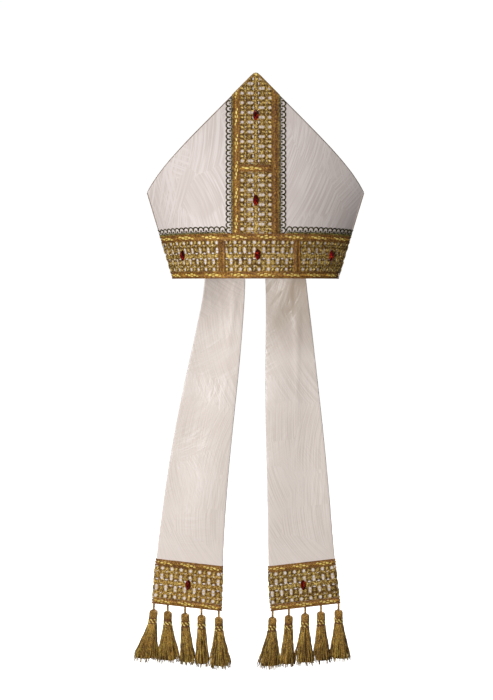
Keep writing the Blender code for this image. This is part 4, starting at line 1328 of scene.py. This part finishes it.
def setting_shape():
    """The dull gold wire that holds a stone, round its girdle."""
    turn = np.linspace(0, math.tau, 37)
    narrow = np.abs(np.cos(turn)) ** STONE_POINT_SHARPNESS
    x = np.cos(turn) * narrow * (STONE_WIDTH / 2 + 0.1 * MM)
    y = np.sin(turn) * (STONE_LENGTH / 2 + 0.15 * MM)
    return thread(points_at(x, y, STONE_FLOOR + 0.4 * MM), SETTING_RADIUS, SETTING_FINISH, sides=5)


def build_stones():
    seats = []
    for label, side in SIDES.items():
        place = ON_SIDE[label]
        seats.append((f"band_stone_{label}_middle", place, BAND_STONE_SHIFT, BAND_STONE_CLIMB))
        for hand, sign in HANDS.items():
            reach = sign * side * BAND_STONE_REACH + BAND_STONE_SHIFT
            seats.append((f"band_stone_{label}_{hand}", place, reach, BAND_STONE_CLIMB))
        for order, climb in UPRIGHT_STONE_CLIMBS.items():
            seats.append((f"upright_stone_{label}_{order}", place, 0, climb))
    middle = -(LAPPET_LENGTH - LAPPET_BAND_HEIGHT / 2)
    face = LAPPET_WIDTH - LAPPET_THICK
    for label, place in ROUND_LAPPET.items():
        seats.append((f"lappet_stone_{label}_front", place, face / 2, middle))
        seats.append((f"lappet_stone_{label}_back", place, face * 1.5 + SLEEVE_CAP, middle))
    for node, place, column, row in seats:
        mesh = gathered([in_place(stone_shape()), in_place(setting_shape())])
        dressed(node, "cut", shifted(mesh, column, row), place, ("red_glass", "setting_gold"), "red_stone")


# Tassels. Drops are shares of a tassel's length, from the lappet's end down
TASSEL_THREAD, TASSEL_BROWN, TASSEL_GLINT, TASSEL_DARK, TASSEL_LIGHT = range(5)
TASSEL_FINISHES = ("tassel_gold", "tassel_brown", "braid_bright", "tassel_dark", "tassel_light")
# A direction that no thread of a tassel runs in
ASIDE = (0.02, 1, 0.01)
NECK_TOP = -0.02
NECK_FOOT = 0.15
NECK_TURNS = 3.5
NECK_REACH = 0.85 * MM
NECK_THREAD = 1.05 * MM
# The threads over a head: their drops, and how far out they are as shares of the head's radius
HEAD_DROPS = np.array((0.118, 0.124, 0.140, 0.165, 0.200, 0.245))
HEAD_REACHES = np.array((0.30, 0.62, 0.92, 1.0, 1.0, 0.96))
HEAD_TWIST = 0.35
HEAD_THREAD = 0.78 * MM
CORE_SHARE = 0.8
# The collar: its windings, and two rows of bright links over them. The middle between the rows is
# at a drop between two limits
WINDING_DROPS = np.linspace(0.245, 0.352, 7)
WINDING_THREAD = 0.8 * MM
LINK_LIMITS = (0.285, 0.315)
LINK_ROW_STEP = 0.042
LINKS_A_ROW = 7
LINK_LEAN = math.radians(52)
SKIRT_DROP = 0.355
STRAND_STEPS = 10
# Strands take one of three copies of the one gold thread at random, middle, dark and light: painted shade
# and painted highlight
STRAND_FINISHES = (TASSEL_THREAD, TASSEL_DARK, TASSEL_LIGHT)
STRAND_SHARES = (0.46, 0.17, 0.37)


def tassel_form(row, drop):
    """The middle line of a tassel and its half width and depth."""
    columns = {key: [station[key] for station in TASSEL_PROFILE] for key in TASSEL_PROFILE[0]}
    taken = {key: np.interp(drop, columns["drop"], columns[key]) for key in columns}
    stem = (taken["cord"] * TASSEL_CORD_RADIUS + taken["head"] * TASSEL_HEAD_RADIUS
            + taken["collar"] * TASSEL_COLLAR_RADIUS)
    wide = stem + taken["skirt"] * row["spread"] * TASSEL_SPACING / 2
    deep = stem + taken["skirt"] * TASSEL_SKIRT_DEPTH / 2
    x = row["middle"] * TASSEL_SPACING * taken["swing"]
    return points_at(x, 0, -drop * TASSEL_LENGTH), wide, deep


def out_from(middle, turn, wide, deep):
    """Points on ovals round the points of a middle line, each at a turn of its own."""
    return middle + points_at(np.cos(turn) * wide, np.sin(turn) * deep, 0)


def ringed(row, drop, turn, share=1.0):
    """Points on a tassel's outside, or at a share of the way out to it."""
    middle, wide, deep = tassel_form(row, drop)
    return out_from(middle, turn, wide * share, deep * share)


def tassel_head(row, threads):
    """The two twisted threads of the neck, and the threads that cover the head."""
    placed = []
    neck = np.linspace(NECK_TOP, NECK_FOOT, 22)
    for half in (0, math.pi):
        turn = math.tau * NECK_TURNS * neck / NECK_FOOT + half
        route = out_from(tassel_form(row, neck)[0], turn, NECK_REACH, NECK_REACH)
        placed.append(in_place(thread(route, NECK_THREAD, TASSEL_THREAD, up=ASIDE)))
    reach = TASSEL_HEAD_RADIUS * HEAD_REACHES
    for number in range(threads):
        turn = math.tau * number / threads + HEAD_TWIST * np.linspace(0, 1, len(HEAD_DROPS))
        route = out_from(tassel_form(row, HEAD_DROPS)[0], turn, reach, reach)
        placed.append(in_place(thread(route, HEAD_THREAD, TASSEL_THREAD, sides=5, up=ASIDE)))
    return placed


def tassel_core(row):
    """A dark core that fills a tassel behind its threads, as painted shade between them."""
    drops = np.concatenate((np.linspace(0.13, 0.4, 8), np.linspace(0.5, 0.96, 6)))
    core = thread(tassel_form(row, drops)[0], 1 * MM, TASSEL_DARK, sides=12, up=(0, 1, 0))
    flat = co_of(core)
    middle, wide, deep = tassel_form(row, np.clip(-flat[:, 2] / TASSEL_LENGTH, drops[0], drops[-1]))
    turn = np.arctan2(flat[:, 1], flat[:, 0] - middle[:, 0])
    set_co(core, out_from(middle, turn, wide * CORE_SHARE, deep * CORE_SHARE))
    return [in_place(core)]


def tassel_collar(row, dice):
    """Brown windings, and links bright as painted glints that slant over them in two rows."""
    placed = []
    reach = TASSEL_COLLAR_RADIUS - 0.6 * MM
    winding = ring_thread(reach, reach, WINDING_THREAD, TASSEL_BROWN, flat=1.0, steps=18)
    for middle in tassel_form(row, WINDING_DROPS)[0]:
        placed.append((winding, Matrix.Translation(Vector(middle))))
    link = bead(0.8 * MM, 1.05 * MM, 2.1 * MM, TASSEL_GLINT, sides=6, rings=5)
    middle_drop = dice.uniform(*LINK_LIMITS)
    start = dice.uniform(0, 1)
    for number in range(2 * LINKS_A_ROW):
        turn = math.tau * (number / 2 + start) / LINKS_A_ROW
        drop = middle_drop + (number % 2 - 0.5) * LINK_ROW_STEP + dice.uniform(-0.012, 0.012)
        spot = ringed(row, np.array((drop,)), np.array((turn,)))[0]
        lean = Matrix.Rotation(turn, 4, "Z") @ Matrix.Rotation(LINK_LEAN, 4, "X")
        placed.append((link, Matrix.Translation(Vector(spot)) @ lean))
    return placed


def tassel_skirt(row, dice, tassels):
    """Loose strands that start under the collar, lie in locks and end in a ragged foot."""
    placed = []
    levels = np.linspace(0, 1, STRAND_STEPS + 1)
    for _ in range(tassels.strands):
        start = dice.uniform(0, math.tau)
        depth = 1 - 0.3 * dice.random() ** 2
        foot = 1 + dice.uniform(-0.08, 0.03)
        drop = SKIRT_DROP + (foot - SKIRT_DROP) * levels
        locks = 0.18 * np.sin(6 * start + row["spread"] * 9) * levels
        turn = start + locks + dice.uniform(-0.15, 0.15) * levels**2
        flick = 1 + dice.uniform(-0.02, 0.20) * levels**2
        wave = 0.55 * MM * np.sin(levels * dice.uniform(9, 22) + dice.uniform(0, 6))
        route = ringed(row, np.minimum(drop, 1), turn, depth * flick)
        route[:, 2] = -drop * TASSEL_LENGTH
        route[:, 0] += wave
        route[:, 1] += wave[::-1]
        taper = tassels.strand_radius * (1 - 0.35 * levels)
        finish = dice.choice(STRAND_FINISHES, p=STRAND_SHARES)
        placed.append(in_place(thread(route, taper, finish, sides=4, up=ASIDE)))
    return placed


def build_tassels(tassels):
    dice = np.random.default_rng(tassels.seed)
    end = np.array((LAPPET_LENGTH + SIDE_GAP,))
    for label, rows in TASSELS.items():
        for number, row in enumerate(rows, start=1):
            mesh = gathered(tassel_head(row, tassels.head_threads) + tassel_core(row)
                            + tassel_collar(row, dice) + tassel_skirt(row, dice, tassels))
            x, y, z = lappet_face(label, np.array((2 * row["place"] - 1,)), end)[0]
            shifted(mesh, x, y - LAPPET_THICK / 2, z)
            finished(f"tassel_{label}_{number}_threads", mesh, TASSEL_FINISHES, "tassel_thread",
                     f"tassel_{label}_{number}")


# Studio

LIGHT_AIM = Vector((0, 0, -0.2))
# How bright the studio's walls look to the camera
BACKDROP = 1.02
FLOOR_REACH = 6


def soft_light(name, location, size, power):
    """A round soft light that shines at a place between the lappets."""
    light = bpy.data.lights.new(name, "AREA")
    light.shape = "DISK"
    light.size = size
    light.energy = power
    lamp = bpy.data.objects.new(name, light)
    lamp.location = location
    lamp.rotation_euler = (LIGHT_AIM - lamp.location).to_track_quat("-Z", "Y").to_euler()
    lamp.visible_camera = False
    bpy.context.scene.collection.objects.link(lamp)


def build_stage(stage):
    scene = bpy.context.scene
    scene.view_settings.view_transform = "Standard"
    lens = bpy.data.cameras.new("camera")
    lens.sensor_fit = "VERTICAL"
    lens.lens = lens.sensor_height * stage.distance / stage.picture_height
    camera = bpy.data.objects.new("camera", lens)
    camera.location = (stage.aim_across, -stage.distance, stage.camera_height)
    drop = math.atan2(stage.camera_height - stage.aim_height, stage.distance)
    camera.rotation_euler = (math.pi / 2 - drop, 0, 0)
    scene.collection.objects.link(camera)
    scene.camera = camera

    soft_light("key_light", (-0.54, -1.3, -0.17), 0.55, stage.key_power)
    soft_light("top_light", (-0.25, 0.4, 2.6), 1.6, stage.top_power)
    soft_light("back_light", (0.55, 1.4, 0.1), 0.55, stage.back_power)

    world = bpy.data.worlds.new("studio")
    scene.world = world
    world.use_nodes = True
    tree = world.node_tree
    tree.nodes.clear()
    seen = add_node(tree, "ShaderNodeLightPath").outputs["Is Camera Ray"]
    strength = reckon(tree, "MULTIPLY_ADD", seen, BACKDROP - stage.ambient, stage.ambient)
    inputs = (("Color", (1, 1, 1, 1)), ("Strength", strength))
    shell = add_node(tree, "ShaderNodeBackground", inputs)
    out = add_node(tree, "ShaderNodeOutputWorld")
    tree.links.new(shell.outputs[0], out.inputs[0])

    bm = bmesh.new()
    bmesh.ops.create_grid(bm, x_segments=1, y_segments=1, size=FLOOR_REACH)
    bmesh.ops.translate(bm, vec=(0, 0, CAD_BOX[0].z - stage.floor_drop), verts=bm.verts)
    mesh = shape(bm)
    floor = bpy.data.objects.new("floor", mesh)
    scene.collection.objects.link(floor)
    _, shader = new_finish("pale_floor", 0.9)
    shader.inputs["Base Color"].default_value = (0.9, 0.9, 0.9, 1)
    shader.inputs["Emission Color"].default_value = (1, 1, 1, 1)
    shader.inputs["Emission Strength"].default_value = stage.floor_glow
    mesh.materials.append(finish_named("pale_floor"))
    floor.visible_diffuse = False
    floor.visible_glossy = False


# What a user can change

def length_property(name, description, default):
    return FloatProperty(name=name, description=description, default=default, min=0, unit="LENGTH",
                         precision=4)


def color_property(name, description, default):
    return FloatVectorProperty(name=name, description=description, default=default, min=0, max=1,
                               subtype="COLOR", size=3)


def share_property(name, description, default):
    return FloatProperty(name=name, description=description, default=default, min=0, max=1,
                         subtype="FACTOR")


def place_property(name, description, default):
    return FloatProperty(name=name, description=description, default=default, unit="LENGTH", precision=4)


def power_property(name, description, default):
    return FloatProperty(name=name, description=description, default=default, min=0, unit="POWER")


class MitreCloth(bpy.types.PropertyGroup):
    ground_color: color_property("Ground", "Duller ground of the damask", (0.70, 0.61, 0.57))
    shade_color: color_property("Shaded ground", "Ground where the cloth is a little darker",
                                (0.655, 0.565, 0.525))
    lappet_color: color_property("Lappets", "Ground of the lappets' damask", (0.80, 0.705, 0.64))
    lining_color: color_property("Lining", "Plain cloth inside the hat", (0.62, 0.55, 0.50))
    stroke_color: color_property("Strokes", "Satin strokes of the damask", (0.86, 0.78, 0.745))
    stroke_strength: share_property("Stroke strength", "How much the strokes stand out", 0.7)
    stroke_width: length_property("Stroke width", "Width of a satin stroke", 2.9 * MM)
    patch_size: length_property("Patch size", "Size of a fan of strokes", 105 * MM)
    stroke_relief: length_property("Relief", "How far a stroke stands up", 0.10 * MM)
    fold_color: color_property("Fold", "Soft cloth between the points", (0.84, 0.765, 0.71))
    # Besides the lappets' fine lines, this colour is the painted shade of their creases and fold below the
    # rim
    line_and_crease_shade_color: color_property("Creases", "Fine lines and creases of the lappets", (0.42, 0.34, 0.27))
    # The dark cords are painted shade of the turned edges and seams
    edge_shade_color: color_property("Edge cord", "Cord along the edges and side seams", (0.24, 0.16, 0.11))


class MitreGold(bpy.types.PropertyGroup):
    lace_color: color_property("Lace", "Gold thread of the lace", (0.36, 0.195, 0.038))
    # The lace shade is painted shade between the lace threads; the binding and the settings use it as dull
    # gold
    lace_dark: color_property("Lace shade", "Dull gold between the threads", (0.125, 0.062, 0.011))
    # The brightest thread of the lace is painted highlight
    lace_light: color_property("Lace light", "Brightest thread of the lace", (0.95, 0.71, 0.22))
    braid_color: color_property("Braid", "Satin strokes of the braid", (0.56, 0.30, 0.045))
    braid_brown: color_property("Braid edges", "Copper cords of the braid", (0.30, 0.125, 0.034))
    # The chain's bright colour is painted glints on its raised links
    glint_color: color_property("Chain", "Bright chain in the braid", (1.0, 0.79, 0.21))
    edging_color: color_property("Edging", "Dark loops of the edging", (0.030, 0.025, 0.004))
    edging_grey: color_property("Edging cords", "Grey cords of the edging", (0.30, 0.25, 0.065))


class MitreStones(bpy.types.PropertyGroup):
    color: color_property("Stone", "Red of the stones", (0.12, 0.0, 0.002))
    # The dark and flashing facets are painted shade and painted reflection
    deep_color: color_property("Deep red", "Facets that look dark", (0.014, 0.0, 0.001))
    painted_flash_color: color_property("Flash", "Facets that send the light back", (0.7, 0.045, 0.003))
    # Painted light: the stones glow although they are not lamps
    glow: share_property("Glow", "How much light comes back from inside a stone", 0.12)


class MitreTassels(bpy.types.PropertyGroup):
    strands: IntProperty(name="Strands", description="Loose strands in a tassel", default=150, min=1)
    head_threads: IntProperty(name="Head threads", description="Threads over a tassel's head",
                              default=22, min=3)
    strand_radius: length_property("Strand radius", "Half the thickness of a strand", 0.55 * MM)
    seed: IntProperty(name="Seed", description="Chooses how the strands fall", default=7)
    color: color_property("Thread", "Gold thread of the tassels", (0.37, 0.205, 0.045))
    brown: color_property("Collar", "Brown winding of the collars", (0.24, 0.10, 0.03))


class MitreStage(bpy.types.PropertyGroup):
    distance: length_property("Distance", "From the camera to the middle of the hat", 1.8)
    camera_height: place_property("Camera height", "Height of the camera", 0.0)
    aim_across: place_property("Aim across", "How far right the camera stands", -12.6 * MM)
    aim_height: place_property("Aim height", "Height that the camera looks at", -100 * MM)
    picture_height: length_property("Picture height", "What the picture takes in at the hat", 0.9785)
    key_power: power_property("Key light", "Power of the soft light from the left in front", 18.7)
    top_power: power_property("Top light", "Power of the soft light from above", 30.0)
    back_power: power_property("Back light", "Power of the soft light from behind", 14.0)
    ambient: share_property("Ambient", "Light from all round the studio", 0.10)
    floor_drop: length_property("Floor drop", "Floor below the tassels", 50 * MM)
    floor_glow: share_property("Floor glow", "How pale the floor looks", 0.92)


# One operator for each group of pieces

class MITRE_OT_finishes(bpy.types.Operator):
    """Make the finishes of the cloth, threads and stones"""

    bl_idname = "mitre.finishes"
    bl_label = "Finishes"

    def execute(self, context):
        cloth, gold = context.scene.mitre_cloth, context.scene.mitre_gold
        tassels = context.scene.mitre_tassels
        make_damask("damask", cloth, cloth.ground_color, cloth.shade_color, cloth.stroke_strength)
        # The lappets' damask has painted shade in creases below the rim, light on the left and strong on
        # the right, with a painted fold shadow
        make_damask("lappet_damask_left", cloth, cloth.lappet_color, cloth.lappet_color,
                    cloth.stroke_strength * 0.4, lining=0.22, creases=(0.16, -0.25, 0.0))
        make_damask("lappet_damask_right", cloth, cloth.lappet_color, cloth.lappet_color,
                    cloth.stroke_strength * 0.4, lining=0.28, creases=(1.0, 0.75, 1.0))
        make_soft_cloth("fold_cloth", cloth.fold_color, toned(cloth.fold_color, 0.78))
        # A paler copy of the lace is painted light for the left lappet's lit end
        for name, tone in (("lace", 1.0), ("lit_lace", 1.55)):
            dark, color = toned(gold.lace_dark, tone), toned(gold.lace_color, tone)
            # Each lace has a middle gold thread, a painted highlight thread and a ground in painted shade
            make_thread_finish(f"{name}_gold", dark, color, gold.lace_light, 0.45, 0.42)
            make_thread_finish(f"{name}_light", color, gold.lace_light, gold.lace_light, 0.45, 0.35)
            make_thread_finish(f"{name}_ground", toned(dark, 0.6), dark, color, 0.2, 0.6)
        lining, edge, bright = cloth.lining_color, cloth.edge_shade_color, gold.glint_color
        brown, braid = gold.braid_brown, gold.braid_color
        olive, grey = gold.edging_color, gold.edging_grey
        tassel, collar = tassels.color, tassels.brown
        # Each row is a name, a dark, a middle and a light tone, how metallic and how rough it is,
        # and the size of its flecks and its shine where they aren't the usual ones
        for row in (
            ("lining", lining, lining, cloth.fold_color, 0, 0.8),
            ("edge_thread", toned(edge, 0.6), edge, toned(edge, 1.5), 0, 0.6),
            ("braid_brown", toned(brown, 0.55), brown, braid, 0.3, 0.5),
            ("braid_gold", brown, braid, toned(braid, 1.7), 0.3, 0.4),
            # A flat bright colour that stands for painted glints
            ("braid_bright", bright, bright, bright, 0.1, 0.3),
            # A darker, duller braid: the dividers' own, and painted shade on the uprights' right braids
            ("braid_dull", toned(brown, 0.3), toned(braid, 0.28), toned(braid, 0.7), 0.3, 0.5),
            ("edging_olive", toned(olive, 0.3), olive, toned(grey, 0.6), 0, 0.6, 1.6 * MM, 0.1),
            ("edging_grey", olive, grey, toned(grey, 2.4), 0, 0.6, FLECK_SIZE, 0.2),
            ("tassel_gold", toned(tassel, 0.3), tassel, toned(tassel, 2.5), 0.3, 0.45, 1.5 * MM),
            # The light and dark tassel copies are painted highlight and painted shade
            ("tassel_light", toned(tassel, 0.8), toned(tassel, 1.8), toned(tassel, 4.0), 0.4, 0.35,
             1.5 * MM),
            ("tassel_dark", toned(tassel, 0.15), toned(tassel, 0.3), toned(tassel, 0.5), 0.2, 0.7),
            ("tassel_brown", toned(collar, 0.5), collar, toned(collar, 1.6), 0.3, 0.5),
            ("binding_gold", gold.lace_dark, gold.lace_color, braid, 0.3, 0.5),
            ("setting_gold", gold.lace_dark, gold.lace_dark, gold.lace_color, 0.8, 0.35),
        ):
            make_thread_finish(*row)
        make_stone_finish(context.scene.mitre_stones)
        return {"FINISHED"}


class MITRE_OT_panels(bpy.types.Operator):
    """Make the damask panels and the dark cords along their sloping edges and side seams, painted shade of
    the turned edges
    """

    bl_idname = "mitre.panels"
    bl_label = "Panels"

    def execute(self, context):
        build_panels()
        return {"FINISHED"}


class MITRE_OT_fold(bpy.types.Operator):
    """Make the soft cloth between the two points"""

    bl_idname = "mitre.fold"
    bl_label = "Fold"

    def execute(self, context):
        build_fold()
        return {"FINISHED"}


class MITRE_OT_lappets(bpy.types.Operator):
    """Make the two hanging lappets"""

    bl_idname = "mitre.lappets"
    bl_label = "Lappets"

    def execute(self, context):
        build_lappets()
        return {"FINISHED"}


class MITRE_OT_lace(bpy.types.Operator):
    """Make the gold lace of the band, the uprights and the lappets"""

    bl_idname = "mitre.lace"
    bl_label = "Lace"

    def execute(self, context):
        build_lace()
        return {"FINISHED"}


class MITRE_OT_braids(bpy.types.Operator):
    """Make the woven braids, dividers and crossbars"""

    bl_idname = "mitre.braids"
    bl_label = "Braids"

    def execute(self, context):
        build_braids()
        return {"FINISHED"}


class MITRE_OT_edging(bpy.types.Operator):
    """Make the looped edging beside the uprights and on top of the band"""

    bl_idname = "mitre.edging"
    bl_label = "Edging"

    def execute(self, context):
        build_edging()
        return {"FINISHED"}


class MITRE_OT_stones(bpy.types.Operator):
    """Make the red stones in their settings"""

    bl_idname = "mitre.stones"
    bl_label = "Stones"

    def execute(self, context):
        build_stones()
        return {"FINISHED"}


class MITRE_OT_tassels(bpy.types.Operator):
    """Make the ten gold tassels"""

    bl_idname = "mitre.tassels"
    bl_label = "Tassels"

    def execute(self, context):
        build_tassels(context.scene.mitre_tassels)
        return {"FINISHED"}


class MITRE_OT_stage(bpy.types.Operator):
    """Make the studio: the camera, the soft light and the pale floor"""

    bl_idname = "mitre.stage"
    bl_label = "Studio"

    def execute(self, context):
        build_stage(context.scene.mitre_stage)
        return {"FINISHED"}


OPERATORS = (MITRE_OT_stage, MITRE_OT_finishes, MITRE_OT_panels, MITRE_OT_fold, MITRE_OT_lappets,
             MITRE_OT_lace, MITRE_OT_braids, MITRE_OT_edging, MITRE_OT_stones, MITRE_OT_tassels)
GROUPS = {"mitre_cloth": MitreCloth, "mitre_gold": MitreGold, "mitre_stones": MitreStones,
          "mitre_tassels": MitreTassels, "mitre_stage": MitreStage}


class MITRE_PT_sidebar(bpy.types.Panel):
    bl_label = "Bishop's mitre"
    bl_space_type = "VIEW_3D"
    bl_region_type = "UI"
    bl_category = "Mitre"

    def draw(self, context):
        for operator in OPERATORS:
            self.layout.operator(operator.bl_idname)


def register():
    for item in (*GROUPS.values(), *OPERATORS, MITRE_PT_sidebar):
        bpy.utils.register_class(item)
    for name, group in GROUPS.items():
        setattr(bpy.types.Scene, name, PointerProperty(type=group))


def unregister():
    for name in GROUPS:
        delattr(bpy.types.Scene, name)
    for item in reversed((*GROUPS.values(), *OPERATORS, MITRE_PT_sidebar)):
        bpy.utils.unregister_class(item)


def main():
    register()
    bpy.ops.mitre.stage()
    bpy.ops.mitre.finishes()
    bpy.ops.mitre.panels()
    bpy.ops.mitre.fold()
    bpy.ops.mitre.lappets()
    bpy.ops.mitre.lace()
    bpy.ops.mitre.braids()
    bpy.ops.mitre.edging()
    bpy.ops.mitre.stones()
    bpy.ops.mitre.tassels()


if __name__ == "__main__":
    main()
